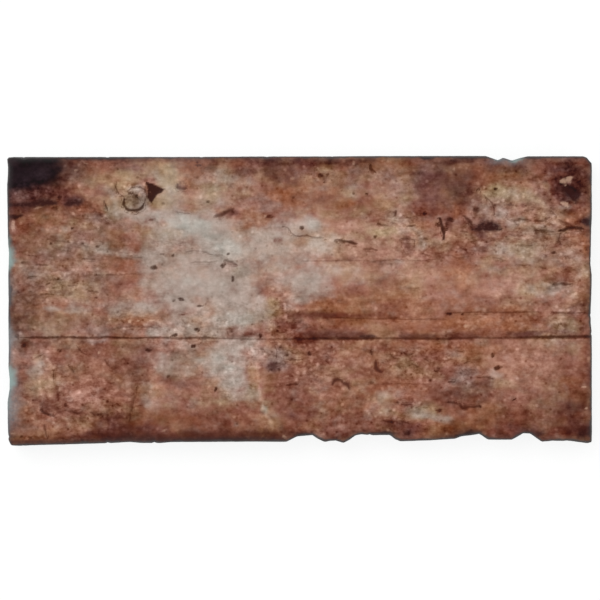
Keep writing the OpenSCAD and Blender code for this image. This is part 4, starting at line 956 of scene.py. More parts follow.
def rim_distance(place, ideal, ring):
    """Distance from the rim in mm, held where the rim's wear and the shade painted near it end."""
    (x, y), (ideal_x, ideal_y) = place, ideal
    distance = np.full_like(x, RIM_REACH)
    near = np.minimum(LENGTH / 2 - np.abs(ideal_x), WIDTH / 2 - np.abs(ideal_y)) < RIM_REACH + 1
    spot_x, spot_y = x[near], y[near]
    closest = np.full(near.sum(), RIM_REACH)
    for start, end in zip(ring, np.roll(ring, -1, 0)):
        box = np.abs(spot_x - start[0]) + np.abs(spot_y - start[1]) < 1.5 * RIM_REACH
        away, _, _ = line_distance(spot_x[box], spot_y[box], start, end)
        closest[box] = np.minimum(closest[box], np.abs(away))
    distance[near] = closest
    return distance


def arrowhead(x, y):
    """1 inside the shard's hollow, falling to 0 just outside it."""
    inside, nearest = np.zeros(x.shape, bool), np.full_like(x, FAR)
    for start, end in zip(ARROWHEAD, ARROWHEAD[1:] + ARROWHEAD[:1]):
        distance, _, _ = line_distance(x, y, start, end)
        nearest = np.minimum(nearest, np.abs(distance))
        if start[1] != end[1]:
            crossing = start[0] + (y - start[1]) * (end[0] - start[0]) / (end[1] - start[1])
            inside ^= ((start[1] > y) != (end[1] > y)) & (x < crossing)
    return np.clip(0.5 + np.where(inside, nearest, -nearest) / ARROWHEAD_EDGE, 0, 1)


def crack_marks(x, y, shaken):
    """Offset from the nearest crack or the crease in half widths, and how dark it is there."""
    place, half, dark = np.array(CREASE_LOOK).T
    centre = crease_line(x) + 0.1 * ripple(x, 3, 57)
    half = np.interp(x, place, half) * (1 + UNEVEN * ripple(x, 2.2, 58))
    offset = (y - centre) / half
    darkness = np.interp(x, place, dark / 100) * ease(*CRACK_EDGE, np.abs(offset))
    for half, dark, points in CRACKS:
        low, high = np.min(points, 0) - CRACK_MARGIN, np.max(points, 0) + CRACK_MARGIN
        near = (x > low[0]) & (x < high[0]) & (y > low[1]) & (y < high[1])
        here, fade = line_offset(shaken[0][near], shaken[1][near], half, points)
        present = dark / 100 * fade * ease(*CRACK_EDGE, np.abs(here))
        nearer = (np.abs(here) < np.abs(offset[near])) & (present > 0)
        offset[near] = np.where(nearer, here, offset[near])
        darkness[near] = np.where(nearer, present, darkness[near])
    return np.clip(offset, -OFFSET_LIMIT, OFFSET_LIMIT), darkness


def face_marks(x, y):
    """Every mark on the face at each point, by name, from 0 to 1, and the offset from a crack."""
    # Pools wander by about a millimetre and the rest by a fifth of one, so that no edge is clean.
    wandered = (x + (1.1 * noise(x, y, 6, 51) + 0.5 * noise(x, y, 2.1, 52)),
                y + (0.8 * noise(x, y, 6, 53) + 0.4 * noise(x, y, 2.1, 54)))
    shaken = x + 0.22 * noise(x, y, 1.6, 55), y + 0.22 * noise(x, y, 1.6, 56)
    marks = {}
    for kinds, cover, place in ((POOLS, pool_cover, wandered), (SPOTS, spot_cover, shaken),
                                (STROKES, stroke_cover, shaken)):
        for name, items in kinds.items():
            marks[name] = overlay(cover(*place, item) for item in items)
    hollow = arrowhead(*shaken)
    marks["dark"] = np.maximum(marks["dark"], hollow)
    marks["char"] = np.maximum(marks["char"], 0.9 * hollow)
    marks["crack_offset"], marks["crack"] = crack_marks(x, y, shaken)
    return marks


def face_height(x, y, marks, rim, sizes):
    """Height of the worn face above the slab's back, in mm."""
    broad = noise(x, y, 28, 61) + 0.4 * noise(x, y, 9, 62)
    grain = 0.5 * noise(x * 0.4, y, 1.9, 63) + 0.35 * noise(x, y, 1.15, 64) + 0.4 * noise(x * 0.5, y, 4, 65)
    groove = marks["crack"] * np.exp(-0.8 * marks["crack_offset"] ** 2)
    rise = sizes.undulation / MM * broad + sizes.grain / MM * grain
    rise -= sizes.crack_depth / MM * groove + sizes.pit_depth / MM * marks["dark"]
    rise += sum(height * marks[name] for name, height in RELIEF.items())
    for knot in KNOTS:
        away = reach(x, y, knot)
        around = np.exp(-((away - GROOVE_PLACE) / GROOVE_WIDTH) ** 2)
        rise += knot[4] * ease(*KNOT_EDGE, away) - GROOVE_DEPTH * around
    rise = np.minimum(rise, HEADROOM)
    shape = 1 + 0.35 * noise(x, y, 7, 66)
    inward = np.clip(rim / (sizes.arris_width / MM * shape), 0, 1)
    drop = sizes.arris_drop / MM * shape * (1 - np.sqrt(1 - (1 - inward) ** 2))
    return THICKNESS - HEADROOM + rise - drop


# ---- the slab's mesh
# Mesh lines stand closer together at the rim and the long crease: their distances from it.
RIM_PLACES = [0, 0.14, 0.32, 0.55, 0.85, 1.25, 1.75]
CREASE_PLACES = [0, 0.16, 0.34, 0.58, 0.95]
# The slab's edge from the top down: height above the back, how far it stands in from the rim, and how
# far down the edge it is. The last two levels are the bevel.
WALL_LEVELS = [
    (8.1, 0.02, 1.4), (7.1, 0.04, 2.4), (6.1, 0.05, 3.4), (5.1, 0.05, 4.4), (4.1, 0.05, 5.4),
    (3.1, 0.05, 6.4), (2.2, 0.04, 7.3), (1.5, 0.02, 8), (0.7, 0.4, 9.1), (0, 0.85, 9.8),
]
# The glaze that spilled over the rim ends between these heights.
SPILL_ENDS = (6.2, 8.4)
# A pocket's floor stands in from its mouth by this much.
POCKET_DRAFT = 0.35
# The bake map: scale and middle of the face and of the back, then the lower left corner of the strip
# for each side, at the back's scale.
FACE_MAP = (0.0049, 0.5, 0.748)
BACK_MAP = (0.0035, 0.356, 0.179)
STRIP_CORNERS = [(0.006, 0.4), (0.76, 0.006), (0.006, 0.444), (0.82, 0.006)]
# Faces that meet at a greater angle than this, in degrees, have a sharp edge.
SHARP_ANGLE = 42


def lattice(step):
    """Columns and rows of the ideal rectangle in mm."""
    columns = steps(LENGTH, step, RIM_PLACES, RIM_PLACES) - LENGTH / 2
    low = steps(WIDTH / 2 + CREASE_ROW, step, RIM_PLACES, CREASE_PLACES) - WIDTH / 2
    high = steps(WIDTH / 2 - CREASE_ROW, step, CREASE_PLACES, RIM_PLACES) + CREASE_ROW
    return np.meshgrid(columns, np.concatenate([low, high[1:]]))


def flat_map(places, layout):
    """Where (x, y) places on the face or the back lie in the bake map."""
    scale, *middle = layout
    return np.array(middle) + places * scale


def strip_map(side, along, down):
    """Where the slab's edge lies in the bake map: long sides across, short sides upright."""
    (left, bottom), scale = STRIP_CORNERS[side], BACK_MAP[0]
    across, up = (along, down) if side % 2 == 0 else (down, along)
    return np.stack([left + across * scale, bottom + up * scale], -1)


def back_plane(ring, pockets):
    """Triangles of the back between the rim line and the pockets, as numbers into ring then pockets."""
    corners = [Vector(p) for p in np.vstack([ring, pockets.reshape(-1, 2)])]
    count = len(ring)
    edges = [(k, (k + 1) % count) for k in range(count)]
    for first in range(count, len(corners), 4):
        edges += [(first + k, first + (k + 1) % 4) for k in range(4)]
    points, _, faces, origin, _, _ = geometry.delaunay_2d_cdt(corners, edges, [], 1, 1e-6)
    if len(points) != len(corners):
        raise RuntimeError("the back's rim line crosses itself or a pocket")
    numbers = [source[0] for source in origin]
    low, high = pockets.min(1), pockets.max(1)
    kept = []
    for face in faces:
        middle = np.mean([points[k] for k in face], 0)
        if not ((middle > low) & (middle < high)).all(1).any():
            kept.append([numbers[k] for k in reversed(face)])
    return np.array(kept)


class SlabMesh:
    """Collects points, faces, bake-map places and per-point marks for one closed mesh, in mm."""

    def __init__(self):
        self.points, self.faces, self.map, self.marks, self.count = [], [], [], [], 0

    def add_points(self, x, y, z, marks):
        """Adds points and gives back their numbers."""
        numbers = self.count + np.arange(len(x))
        self.points.append(np.stack([x, y, np.broadcast_to(z, x.shape)], -1))
        self.marks.append(marks)
        self.count += len(x)
        return numbers

    def add_faces(self, faces, places):
        """Adds faces of equal corner count, each corner with its place in the bake map."""
        self.faces.append(faces)
        self.map.append(places)

    def make(self, name):
        """The finished mesh, in metres."""
        mesh = bpy.data.meshes.new(name)
        faces = [face for block in self.faces for face in block.tolist()]
        mesh.from_pydata(np.vstack(self.points) * MM, [], faces)
        places = np.concatenate([block.reshape(-1, 2) for block in self.map])
        mesh.uv_layers.new(name="OFBake").data.foreach_set("uv", places.ravel())
        for mark in self.marks[0]:
            values = [np.broadcast_to(part.get(mark, 0.0), len(points))
                      for part, points in zip(self.marks, self.points)]
            layer = mesh.attributes.new(mark, "FLOAT", "POINT")
            layer.data.foreach_set("value", np.concatenate(values).astype(np.float32))
        if mesh.validate():
            raise RuntimeError("the slab's mesh had faults")
        mesh.shade_smooth()
        mesh.set_sharp_from_angle(angle=math.radians(SHARP_ANGLE))
        return mesh


def add_face(slab, grid, rim, ideal, place, sizes):
    """The worn, glazed face."""
    x, y = place
    distance = rim_distance(place, ideal, place[:, rim].T)
    marks = face_marks(x, y)
    height = face_height(x, y, marks, distance, sizes)
    slab.add_points(x, y, height, {**marks, "rim": distance, "glazed": 1.0})
    corners = (grid[:-1, :-1], grid[:-1, 1:], grid[1:, 1:], grid[1:, :-1])
    quads = np.stack([corner.ravel() for corner in corners], -1)
    slab.add_faces(quads, flat_map(place.T[quads], FACE_MAP))


def add_edge(slab, outline, rim, ideal, place, sides):
    """The slab's edge, from the rim of the face down. Gives back its lowest ring's numbers and places."""
    along = np.concatenate([[0], np.cumsum(np.hypot(*np.diff(place)))])
    levels, drops = [rim], [0]
    for level, inset, drop in WALL_LEVELS:
        if level > 0:
            # The edge is rough, apart from the line round the back.
            inset = inset + 0.05 * (1 + noise(along, level, 3.1, 81))
            inset += 0.03 * (1 + noise(along, level, 1.2, 82))
        ring = outline.place(ideal[0] * (1 - inset / (LENGTH / 2)), ideal[1] * (1 - inset / (WIDTH / 2)))
        spill = ease(*SPILL_ENDS, level + 1.3 * ripple(along, 4, 83))
        levels.append(slab.add_points(*ring, float(level), {"glazed": spill}))
        drops.append(drop)
    corners = np.cumsum([0, *sides])
    for side, (first, last) in enumerate(zip(corners, corners[1:])):
        here = np.arange(first, last)
        onward = (here + 1) % len(rim)
        start = along[here] - along[first]
        end = start + np.hypot(*(place[:, onward] - place[:, here]))
        for upper, lower, top, foot in zip(levels, levels[1:], drops, drops[1:]):
            quads = np.stack([upper[here], lower[here], lower[onward], upper[onward]], -1)
            runs = np.stack([start, start, end, end], -1)
            down = np.tile([top, foot, foot, top], (len(here), 1))
            slab.add_faces(quads, strip_map(side, runs, down))
    return levels[-1], np.stack(ring, -1)


def add_back(slab, outline, foot, ring):
    """The back inside its lowest ring: flat ribs, and pockets with sloping walls."""
    mouths = np.array([[(a, c), (b, c), (b, d), (a, d)]
                       for a, b in outline.pocket_x for c, d in outline.pocket_y])
    floors = mouths - POCKET_DRAFT * np.array(SQUARE)
    mouth = slab.add_points(*mouths.reshape(-1, 2).T, 0.0, {}).reshape(-1, 4)
    floor = slab.add_points(*floors.reshape(-1, 2).T, outline.pocket_depth, {}).reshape(-1, 4)
    triangles = back_plane(ring, mouths)
    numbers = np.concatenate([foot, mouth.ravel()])
    places = np.vstack([ring, mouths.reshape(-1, 2)])
    slab.add_faces(numbers[triangles], flat_map(places[triangles], BACK_MAP))
    walls = np.stack([np.roll(mouth, -1, 1), mouth, floor, np.roll(floor, -1, 1)], -1)
    places = np.stack([np.roll(mouths, -1, 1), mouths, floors, np.roll(floors, -1, 1)], 2)
    slab.add_faces(walls.reshape(-1, 4), flat_map(places.reshape(-1, 4, 2), BACK_MAP))
    slab.add_faces(floor[:, ::-1], flat_map(floors[:, ::-1], BACK_MAP))


def slab_mesh(sizes):
    """One closed mesh of the tile: worn face, fired edge and keyed back."""
    outline, slab = Outline(), SlabMesh()
    ideal = np.stack(lattice(sizes.face_step / MM))
    rows, columns = ideal.shape[1:]
    ideal = ideal.reshape(2, -1)
    place = np.stack(outline.place(*ideal))
    grid = np.arange(rows * columns).reshape(rows, columns)
    rim = np.concatenate([grid[0, :-1], grid[:-1, -1], grid[-1, :0:-1], grid[:0:-1, 0]])
    add_face(slab, grid, rim, ideal, place, sizes)
    sides = (columns - 1, rows - 1, columns - 1, rows - 1)
    foot, ring = add_edge(slab, outline, rim, ideal[:, rim], place[:, rim], sides)
    add_back(slab, outline, foot, ring)
    return slab.make(TILE_NAME)


# ---- finish
# A range that eases in and out, and a mix of two colours, whose output 2 is the colour and whose
# inputs 0, 6 and 7 are the cover, the colour below and the colour above.
EASED = {"interpolation_type": "SMOOTHSTEP"}
OVER = {"out": 2, "data_type": "RGBA"}

# The four browns of the clay glaze, and where on the scale of its clouds each one lies.
CLAY_STOPS = [(0.36, "umber"), (0.45, "clay"), (0.54, "brick"), (0.64, "peach")]
# Each pool: its colour, how far noise breaks its edge, lump size of that noise in mm, and its cover.
POOL_LAYERS = [
    ("lilac", 0.45, 4, 0.8), ("tan", 0.5, 4, 0.8), ("salmon", 0.5, 4, 0.8), ("amber", 0.5, 3.5, 0.8),
    ("rust", 0.55, 3, 0.85), ("lime", 0.55, 3.5, 0.85), ("chalk", 0.45, 3, 0.85), ("plum", 0.45, 3, 0.85),
    ("soot", 0.2, 2.5, 0.97),
]
# Each stroke: its cover and its colour.
STROKE_LAYERS = [("blush", 0.75, "rust"), ("smear", 0.85, "chestnut"), ("char", 0.95, "scorch")]
# Lumps of the finish by name: size in mm, seed and detail, then roughness and how far they are drawn
# out along the tile, where these are not the usual ones.
LUMPS = {
    "clouds": (12, 1, 3, 0.55, 1.5), "veil": (6, 2, 2, 0.5, 1.6), "mottle": (2.2, 3, 3, 0.62, 1.2),
    "flake gaps": (3, 4, 2), "streaks": (1.2, 5, 2, 0.6, 5), "flake rims": (4.2, 6, 3, 0.6, 1.8),
    "patches": (9, 7, 3, 0.6, 1.3), "sand": (0.95, 8, 2, 0.6, 1.2), "swell": (14, 9, 2),
    "ragged edge": (0.9, 20, 2), "body tone": (7, 30, 4), "iron": (1.1, 31, 2), "kiln wash": (4, 32, 5),
    "edge print and shade": (5, 40, 4), "sheen": (3, 41, 4), "fine bump": (0.55, 42, 4, 0.6, 1.3),
    "coarse bump": (1.9, 43, 4, 0.65, 1.6), "flaked edge": (1.6, 44, 3), "spill edge": (0.9, 45, 2),
}
# Its grit: size in mm, how rare it is, and seed.
GRITS = {"pale grit": (2.2, 0.6, 1), "dark grit": (1.7, 0.8, 2)}
# The lumps at a pool's edge: first seed, then detail, roughness and stretch, and their strength.
POOL_SEED, POOL_LUMPS, POOL_GAIN = 10, (1.5, 0.5, 1.3), 2.1
# Seeds of the lumps lie this far apart in the noise's fourth direction.
SEED_STEP = 7.3
# The eye sees even steps of light on this gamma scale, and the darkest glaze on it isn't quite black.
GAMMA, DARKEST = 2.2, (0.08, 0.05, 0.05)


def add_node(tree, kind, values=(), out=0, **settings):
    """Adds a node and gives back one of its outputs.

    Values set its sockets, or link them from another node's output, in order or by name or number.
    Settings are the node's own options.
    """
    made = tree.nodes.new("ShaderNode" + kind)
    for name, value in settings.items():
        setattr(made, name, value)
    pairs = values.items() if isinstance(values, dict) else enumerate(values)
    for socket, value in pairs:
        target = made.inputs[socket]
        if isinstance(value, bpy.types.NodeSocket):
            tree.links.new(value, target)
        else:
            target.default_value = value
    return made.outputs[out] if made.outputs else None


def lumps(tree, place, size, seed, detail, roughness=0.6, stretch=1):
    """Even lumps of about -0.3 to 0.3 that are `size` mm across."""
    scaled = add_node(tree, "Mapping", {0: place, 3: (1 / (size * stretch), 1 / size, 1 / size)})
    values = {"Vector": scaled, "W": seed * SEED_STEP, "Scale": 1.0, "Detail": detail,
              "Roughness": roughness}
    made = add_node(tree, "TexNoise", values, noise_dimensions="4D")
    return add_node(tree, "Math", (made, 0.5), operation="SUBTRACT")


def grit(tree, place, size, rare, seed):
    """Round grains about half of `size` mm across, shown where their own chance passes rare."""
    moved = add_node(tree, "VectorMath", (place, (seed * 31, seed * 17, 0)), operation="ADD")
    away = add_node(tree, "TexVoronoi", {"Vector": moved, "Scale": 1 / size})
    chance = add_node(tree, "SeparateColor", (away.node.outputs["Color"],))
    chance = add_node(tree, "MapRange", (chance, rare, rare + 0.1, 0.0, 1.0))
    body = add_node(tree, "MapRange", (away, 0.38, 0.12, 0.0, 1.0), **EASED)
    return add_node(tree, "Math", (body, chance), operation="MULTIPLY")


def total(tree, terms):
    """The sum of shares, each times its amount."""
    result = 0.0
    for share, amount in terms:
        result = add_node(tree, "Math", (share, amount, result), operation="MULTIPLY_ADD")
    return result


def lay_over(tree, colour, coats):
    """The colour under thin coats laid on it in turn, each with its cover and its own colour."""
    for cover, coat in coats:
        colour = add_node(tree, "Mix", {0: cover, 6: colour, 7: (*coat, 1)}, **OVER)
    return colour


def clay_colour(tree, field, colours):
    """The clay glaze itself: broad clouds of its four browns under a thin tan veil."""
    browns = add_node(tree, "ValToRGB", (total(tree, [(field["clouds"], 1), (1, 0.5)]),))
    stops = browns.node.color_ramp.elements
    for spot, _ in CLAY_STOPS[1:-1]:
        stops.new(spot)
    for stop, (spot, name) in zip(stops, CLAY_STOPS):
        stop.position = spot
        stop.color = (*getattr(colours, name), 1)
    veil = add_node(tree, "MapRange", (field["veil"], -0.08, 0.2, 0.0, 0.32), **EASED)
    return lay_over(tree, browns, [(veil, colours.tan)])


def pool_coats(tree, field, colours, place):
    """The coloured pools, their edges broken up by lumps."""
    coats = []
    for number, (name, broken, size, cover) in enumerate(POOL_LAYERS):
        edge = lumps(tree, place, size, POOL_SEED + number, *POOL_LUMPS)
        share = total(tree, [(edge, POOL_GAIN * broken), (field[name], 1)])
        share = add_node(tree, "MapRange", (share, 0.0, 1.0, 0.0, cover), **EASED)
        coats.append((share, getattr(colours, name)))
    return coats


def crack_share(tree, field):
    """How much of a crack or the crease shows, with a ragged edge."""
    offset = add_node(tree, "Math", (field["crack_offset"],), operation="ABSOLUTE")
    offset = total(tree, [(field["ragged edge"], 2.0), (offset, 1)])
    line = add_node(tree, "MapRange", (offset, 2.4, 0.0), **EASED)
    return add_node(tree, "Math", (line, field["crack"]), operation="MULTIPLY")


def grain_share(tree, field):
    """Mottle, sand, streaks and grit of the glaze, stronger in some places than in others."""
    strength = total(tree, [(field["swell"], 1.0), (field["lime"], -0.25), (field["calm"], -0.4),
                            (field["gravel"], 0.55), (field["soot"], -0.3), (1, 0.83)])
    grain = total(tree, [(field["mottle"], 0.62), (field["sand"], 0.13), (field["streaks"], 0.17),
                         (field["pale grit"], 0.1), (field["dark grit"], -0.11)])
    return add_node(tree, "Math", (grain, strength), operation="MULTIPLY")


def flake_share(tree, field):
    """Thin broken lines round old flakes, most of them in the gravel."""
    away = add_node(tree, "Math", (field["flake rims"],), operation="ABSOLUTE")
    rims = add_node(tree, "MapRange", (away, 0.022, 0.004), **EASED)
    kept = total(tree, [(field["flake gaps"], 2.0), (field["gravel"], 0.7)])
    return add_node(tree, "Math", (rims, kept), operation="MULTIPLY", use_clamp=True)


def rim_coats(tree, field, colours):
    """Dark grey at the arris, partly the print's darker edge and partly painted shade of the rounded
    rim, a blue-grey veil, and pale teal where the glaze is gone because it flaked off.
    """
    # Painted shade, partly the print's darker edge: dark grey laid over the last 2.6 mm to the rim, and more
    # strongly in a ragged line within about a millimetre of it.
    thin = add_node(tree, "MapRange", (field["rim"], 2.6, 0.2, 0.0, 0.32), **EASED)
    edge = total(tree, [(field["edge print and shade"], 1.6), (field["rim"], 1)])
    edge = add_node(tree, "MapRange", (edge, 0.95, 0.3, 0.0, 0.85), **EASED)
    haze = add_node(tree, "MapRange", (field["haze"], 0.0, 1.0, 0.0, 0.75))
    flaked = total(tree, [(field["flaked edge"], 0.5), (field["bare"], 1)])
    flaked = add_node(tree, "MapRange", (flaked, 0.1, 1.0, 0.0, 0.95), **EASED)
    return [(thin, colours.rim_print_and_shade), (edge, colours.rim_print_and_shade), (haze, colours.haze), (flaked, colours.flaked)]


def glaze_colour(tree, field, colours, place):
    """Colour of the face, from below up: clay, pools, grain and grit, strokes, spots, cracks, rim."""
    colour = lay_over(tree, clay_colour(tree, field, colours), pool_coats(tree, field, colours, place))
    ragged = total(tree, [(field["ragged edge"], 1.6), (1, 1)])
    for name in (*SPOTS, *STROKES, "haze"):
        field[name] = add_node(tree, "Math", (ragged, field[name]), operation="MULTIPLY")
    dark = add_node(tree, "MapRange", (field["dark"], 0.1, 1.05), **EASED)
    cream = add_node(tree, "MapRange", (field["cream"], 0.1, 1.0), **EASED)
    pits = add_node(tree, "Math", (dark, crack_share(tree, field)), operation="MAXIMUM")
    # Painted shade: the glaze darkens a little over the last 5 mm towards the rim.
    edge = add_node(tree, "MapRange", (field["rim"], 5.0, 0.0), **EASED)

    # These lighten or darken the glaze by even steps to the eye, so they are added on a gamma scale.
    light = total(tree, [
        (grain_share(tree, field), 1.0), (field["patches"], 0.21), (field["ridge"], 0.17), (cream, 0.13),
        (pits, -0.26), (edge, -0.06), (flake_share(tree, field), -0.11), (field["smoke"], -0.22),
        (field["bloom"], 0.12), (0.004, 1),
    ])
    eye = add_node(tree, "Gamma", (colour, 1 / GAMMA))
    eye = add_node(tree, "VectorMath", (eye, light), operation="ADD")
    eye = add_node(tree, "VectorMath", (eye, DARKEST), operation="MAXIMUM")
    colour = add_node(tree, "Gamma", (eye, GAMMA))

    strokes = [(add_node(tree, "MapRange", (field[name], 0.05, 0.85, 0.0, cover)), getattr(colours, tint))
               for name, cover, tint in STROKE_LAYERS]
    spots = [(add_node(tree, "Math", (share, 0.55), operation="MULTIPLY"), tint)
             for share, tint in ((cream, colours.cream), (pits, colours.speck))]
    return lay_over(tree, colour, strokes + spots + rim_coats(tree, field, colours))


def body_colour(tree, field, colours, place):
    """Colour of the unglazed stoneware: grey, iron specked, with kiln wash on the back's ribs."""
    tone = add_node(tree, "MapRange", (field["body tone"], -0.2, 0.2, 0.9, 1.1), **EASED)
    colour = add_node(tree, "VectorMath", {0: colours.body, 3: tone}, operation="SCALE")
    iron = add_node(tree, "MapRange", (field["iron"], 0.18, 0.24, 0.0, 0.7), **EASED)
    low = add_node(tree, "MapRange", (add_node(tree, "SeparateXYZ", (place,), "Z"), 0.25, 0.02), **EASED)
    wash = add_node(tree, "MapRange", (field["kiln wash"], -0.15, 0.12, 0.0, 0.55), **EASED)
    wash = add_node(tree, "Math", (wash, low), operation="MULTIPLY")
    return lay_over(tree, colour, [(iron, colours.speck), (wash, colours.kiln_wash)])


def tile_material(colours):
    """Matt reactive glaze fired on a grey stoneware body.

    The glaze gives a soft, nearly dull face in broken clay colours with fine grit, darker in its
    pits and cracks. Painted shade darkens it towards the rim, and the dark grey at the arris is partly
    the print's darker edge, partly painted shade. The bare body shows as cool grey at the arris, on
    the edge and at the back.
    """
    material = bpy.data.materials.new("matt_reactive_glaze_on_stoneware")
    material.use_nodes = True
    tree = material.node_tree
    tree.nodes.clear()
    metres = add_node(tree, "TexCoord", (), "Object")
    place = add_node(tree, "VectorMath", {0: metres, 3: 1 / MM}, operation="SCALE")
    # Every mark and pattern of the finish, by name.
    names = (*POOLS, *SPOTS, *STROKES, "rim", "crack", "crack_offset", "glazed")
    field = {name: add_node(tree, "Attribute", (), "Fac", attribute_name=name) for name in names}
    field |= {name: lumps(tree, place, *pattern) for name, pattern in LUMPS.items()}
    field |= {name: grit(tree, place, *pattern) for name, pattern in GRITS.items()}
    body = body_colour(tree, field, colours, place)
    glaze = glaze_colour(tree, field, colours, place)
    spill = total(tree, [(field["spill edge"], 0.8), (field["glazed"], 1)])
    spill = add_node(tree, "MapRange", (spill, 0.35, 0.65), **EASED)
    colour = add_node(tree, "Mix", {0: spill, 6: body, 7: glaze}, **OVER)

    # Matt glaze is about 0.6 rough and hardly shines, and fired body is rougher still.
    dull = add_node(tree, "MapRange", (field["sheen"], -0.2, 0.2, 0.55, 0.7), **EASED)
    bisque = add_node(tree, "MapRange", (spill, 1.0, 0.0, 0.0, 0.85), **EASED)
    dull = add_node(tree, "Math", (dull, bisque), operation="MAXIMUM")
    # Grain too fine for the mesh, some hundredths of a millimetre high.
    height = total(tree, [(field["fine bump"], 1), (field["coarse bump"], 1.5)])
    bump = add_node(tree, "Bump", {"Height": height, "Distance": 0.06 * MM, "Strength": 0.8})
    values = {"Base Color": colour, "Roughness": dull, "Normal": bump, "IOR": 1.5,
              "Specular IOR Level": 0.1, "Metallic": 0.0}
    surface = add_node(tree, "BsdfPrincipled", values)
    add_node(tree, "OutputMaterial", {"Surface": surface})
    return material


# ---- settings
def length(name, about, size):
    """A size setting in metres, with its default in mm."""
    return FloatProperty(name=name, description=about, default=size * MM, min=0.0, unit="LENGTH", precision=5)


def tone(name, about, code):
    """A colour setting."""
    return FloatVectorProperty(name=name, description=about, default=linear(code), subtype="COLOR",
                               min=0.0, max=1.0)


class TileSizes(bpy.types.PropertyGroup):
    """Sizes of the relief worn into the tile."""

    face_step: length("Face step", "Distance between mesh points on the face", 0.56)
    undulation: length("Undulation", "Rise and fall of the face over about 28 mm", 0.12)
    grain: length("Grain", "Rise and fall of the small lumps on the face", 0.06)
    crack_depth: length("Crack depth", "Depth of the crease and cracks", 0.3)
    pit_depth: length("Pit depth", "Depth of the dark pits", 0.22)
    arris_width: length("Arris width", "How far the rounded rim reaches over the face", 0.8)
    arris_drop: length("Arris drop", "How far the rounded rim falls at the edge", 1.0)


class TileColours(bpy.types.PropertyGroup):
    """Colours of the glaze and the body under it."""

    umber: tone("Umber", "Darkest clay glaze", "#7a4837")
    clay: tone("Clay", "Deep terracotta glaze", "#8b5646")
    brick: tone("Brick", "Terracotta glaze", "#996450")
    peach: tone("Peach", "Palest clay glaze", "#a9765d")
    lime: tone("Lime", "Bloom of old mortar", "#b2a297")
    chalk: tone("Chalk", "Palest, grey-white middle of the bloom", "#b8b5ac")
    lilac: tone("Lilac", "Grey-lilac pools", "#937f78")
    tan: tone("Tan", "Olive-tan pools", "#a68d69")
    salmon: tone("Salmon", "Pink pools", "#ae7b69")
    amber: tone("Amber", "Orange-brown pools", "#9c5f3f")
    rust: tone("Rust", "Dark red-brown pools", "#6f3526")
    plum: tone("Plum", "Purple-brown pools", "#5b2f2c")
    soot: tone("Soot", "Burnt black patches", "#31232a")
    cream: tone("Cream", "Larger pale grit", "#cfa98f")
    speck: tone("Speck", "Small dark grit, pits and cracks", "#37180c")
    scorch: tone("Scorch", "Drawn-out black marks", "#34100c")
    chestnut: tone("Chestnut", "Drawn-out dark smears", "#552a1d")
    # Painted shade, partly the print's darker edge: the dark grey laid on at the arris.
    rim_print_and_shade: tone("Slate", "Thin glaze at the arris", "#4c4a4a")
    haze: tone("Haze", "Thin blue-grey veil along the left rim", "#8d8f92")
    flaked: tone("Flaked", "Pale teal where the glaze is off", "#93a6a2")
    body: tone("Body", "Bare grey stoneware", "#85928e")
    kiln_wash: tone("Kiln wash", "White powder on the back", "#d8d4cc")


# ---- operators
# The ground reaches this far each way, and lies just clear of the back.
GROUND_HALF = 3.0
GROUND_LEVEL = -0.15 * MM
GROUND_WHITE, GROUND_GLOW = 0.25, 0.8
SURROUND_GLOW = 0.72
LAMP_PLACE = (-0.8, 0.9, 1.5)
LAMP_SIZE, LAMP_POWER = 1.6, 12.0
# The camera's lens and sensor in mm, then the middle and the width of its view at the rim's height.
LENS, SENSOR = 200.0, 36.0
VIEW_X, VIEW_Y, VIEW_WIDTH = 0.16 * MM, 0.29 * MM, 205.1 * MM
RIM_HEIGHT = 8.8 * MM


class TILE_OT_build_slab(bpy.types.Operator):
    """Builds the tile over its CAD slab"""

    bl_idname = "tile.build_slab"
    bl_label = "Build tile"

    def execute(self, context):
        mesh = slab_mesh(context.scene.tile_sizes)
        mesh.materials.append(tile_material(context.scene.tile_colours))
        tile = bpy.data.objects.new(TILE_NAME, mesh)
        context.scene.collection.objects.link(tile)
        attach(tile, "root")
        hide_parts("tile")
        return {"FINISHED"}


class TILE_OT_build_stage(bpy.types.Operator):
    """Builds the floor, the light and the camera"""

    bl_idname = "tile.build_stage"
    bl_label = "Build stage"

    def execute(self, context):
        scene = context.scene
        build_floor(scene)
        build_light(scene)
        build_camera(scene)
        scene.view_settings.view_transform = "Standard"
        return {"FINISHED"}


def ground_material():
    """Matt white card, lit evenly. From below, and to shadows and stray light, it is clear."""
    material = bpy.data.materials.new("matt_white_ground")
    material.use_nodes = True
    tree = material.node_tree
    tree.nodes.clear()
    white = add_node(tree, "BsdfDiffuse", {"Color": (GROUND_WHITE, GROUND_WHITE, GROUND_WHITE, 1)})
    glow = add_node(tree, "Emission", {"Color": (1, 1, 1, 1), "Strength": GROUND_GLOW})
    bright = add_node(tree, "AddShader", (white, glow))
    clear = add_node(tree, "BsdfTransparent")
    passing = add_node(tree, "NewGeometry", (), "Backfacing")
    for ray in ("Is Shadow Ray", "Is Diffuse Ray"):
        passing = add_node(tree, "Math", (passing, add_node(tree, "LightPath", (), ray)), operation="MAXIMUM")
    surface = add_node(tree, "MixShader", (passing, bright, clear))
    add_node(tree, "OutputMaterial", {"Surface": surface})
    return material


def build_floor(scene):
    """A white ground that keeps the tile's shadow and lets light reach the back from below."""
    mesh = bpy.data.meshes.new("floor")
    corners = [(x * GROUND_HALF, y * GROUND_HALF, 0) for x, y in SQUARE]
    mesh.from_pydata(corners, [], [(0, 1, 2, 3)])
    mesh.materials.append(ground_material())
    floor = bpy.data.objects.new("floor", mesh)
    floor.location.z = GROUND_LEVEL
    scene.collection.objects.link(floor)


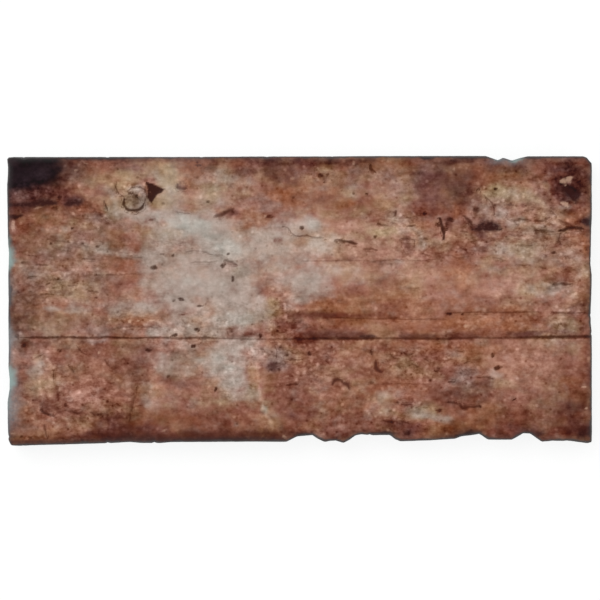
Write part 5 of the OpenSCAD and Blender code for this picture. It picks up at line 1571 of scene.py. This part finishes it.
def build_light(scene):
    """An even white surround and one large soft lamp to the upper left."""
    world = bpy.data.worlds.new("white_surround")
    world.use_nodes = True
    world.node_tree.nodes.clear()
    sky = add_node(world.node_tree, "Background", {"Color": (1, 1, 1, 1), "Strength": SURROUND_GLOW})
    add_node(world.node_tree, "OutputWorld", {"Surface": sky})
    scene.world = world
    lamp = bpy.data.lights.new("soft_lamp", "AREA")
    lamp.shape, lamp.size, lamp.energy = "DISK", LAMP_SIZE, LAMP_POWER
    made = bpy.data.objects.new("soft_lamp", lamp)
    made.location = LAMP_PLACE
    made.rotation_euler = (-made.location).to_track_quat("-Z", "Y").to_euler()
    scene.collection.objects.link(made)


def build_camera(scene):
    """A long lens straight above, its frame a little wider than the tile."""
    lens = bpy.data.cameras.new("camera")
    lens.lens, lens.sensor_width = LENS, SENSOR
    camera = bpy.data.objects.new("camera", lens)
    camera.location = (VIEW_X, VIEW_Y, RIM_HEIGHT + VIEW_WIDTH * LENS / SENSOR)
    scene.collection.objects.link(camera)
    scene.camera = camera


class TILE_PT_panel(bpy.types.Panel):
    """Sizes, colours and build buttons of the tile"""

    bl_idname = "TILE_PT_panel"
    bl_label = "Aged-brick tile"
    bl_space_type = "VIEW_3D"
    bl_region_type = "UI"
    bl_category = "Tile"

    def draw(self, context):
        for group in (context.scene.tile_sizes, context.scene.tile_colours):
            box = self.layout.box()
            for name in group.__annotations__:
                box.prop(group, name)
        for operator in OPERATORS:
            self.layout.operator(operator.bl_idname)


OPERATORS = (TILE_OT_build_slab, TILE_OT_build_stage)
CLASSES = (TileSizes, TileColours, *OPERATORS, TILE_PT_panel)


def register():
    for kind in CLASSES:
        bpy.utils.register_class(kind)
    bpy.types.Scene.tile_sizes = PointerProperty(type=TileSizes)
    bpy.types.Scene.tile_colours = PointerProperty(type=TileColours)


def unregister():
    del bpy.types.Scene.tile_colours
    del bpy.types.Scene.tile_sizes
    for kind in reversed(CLASSES):
        bpy.utils.unregister_class(kind)


def main():
    register()
    bpy.ops.tile.build_slab()
    bpy.ops.tile.build_stage()


if __name__ == "__main__":
    main()
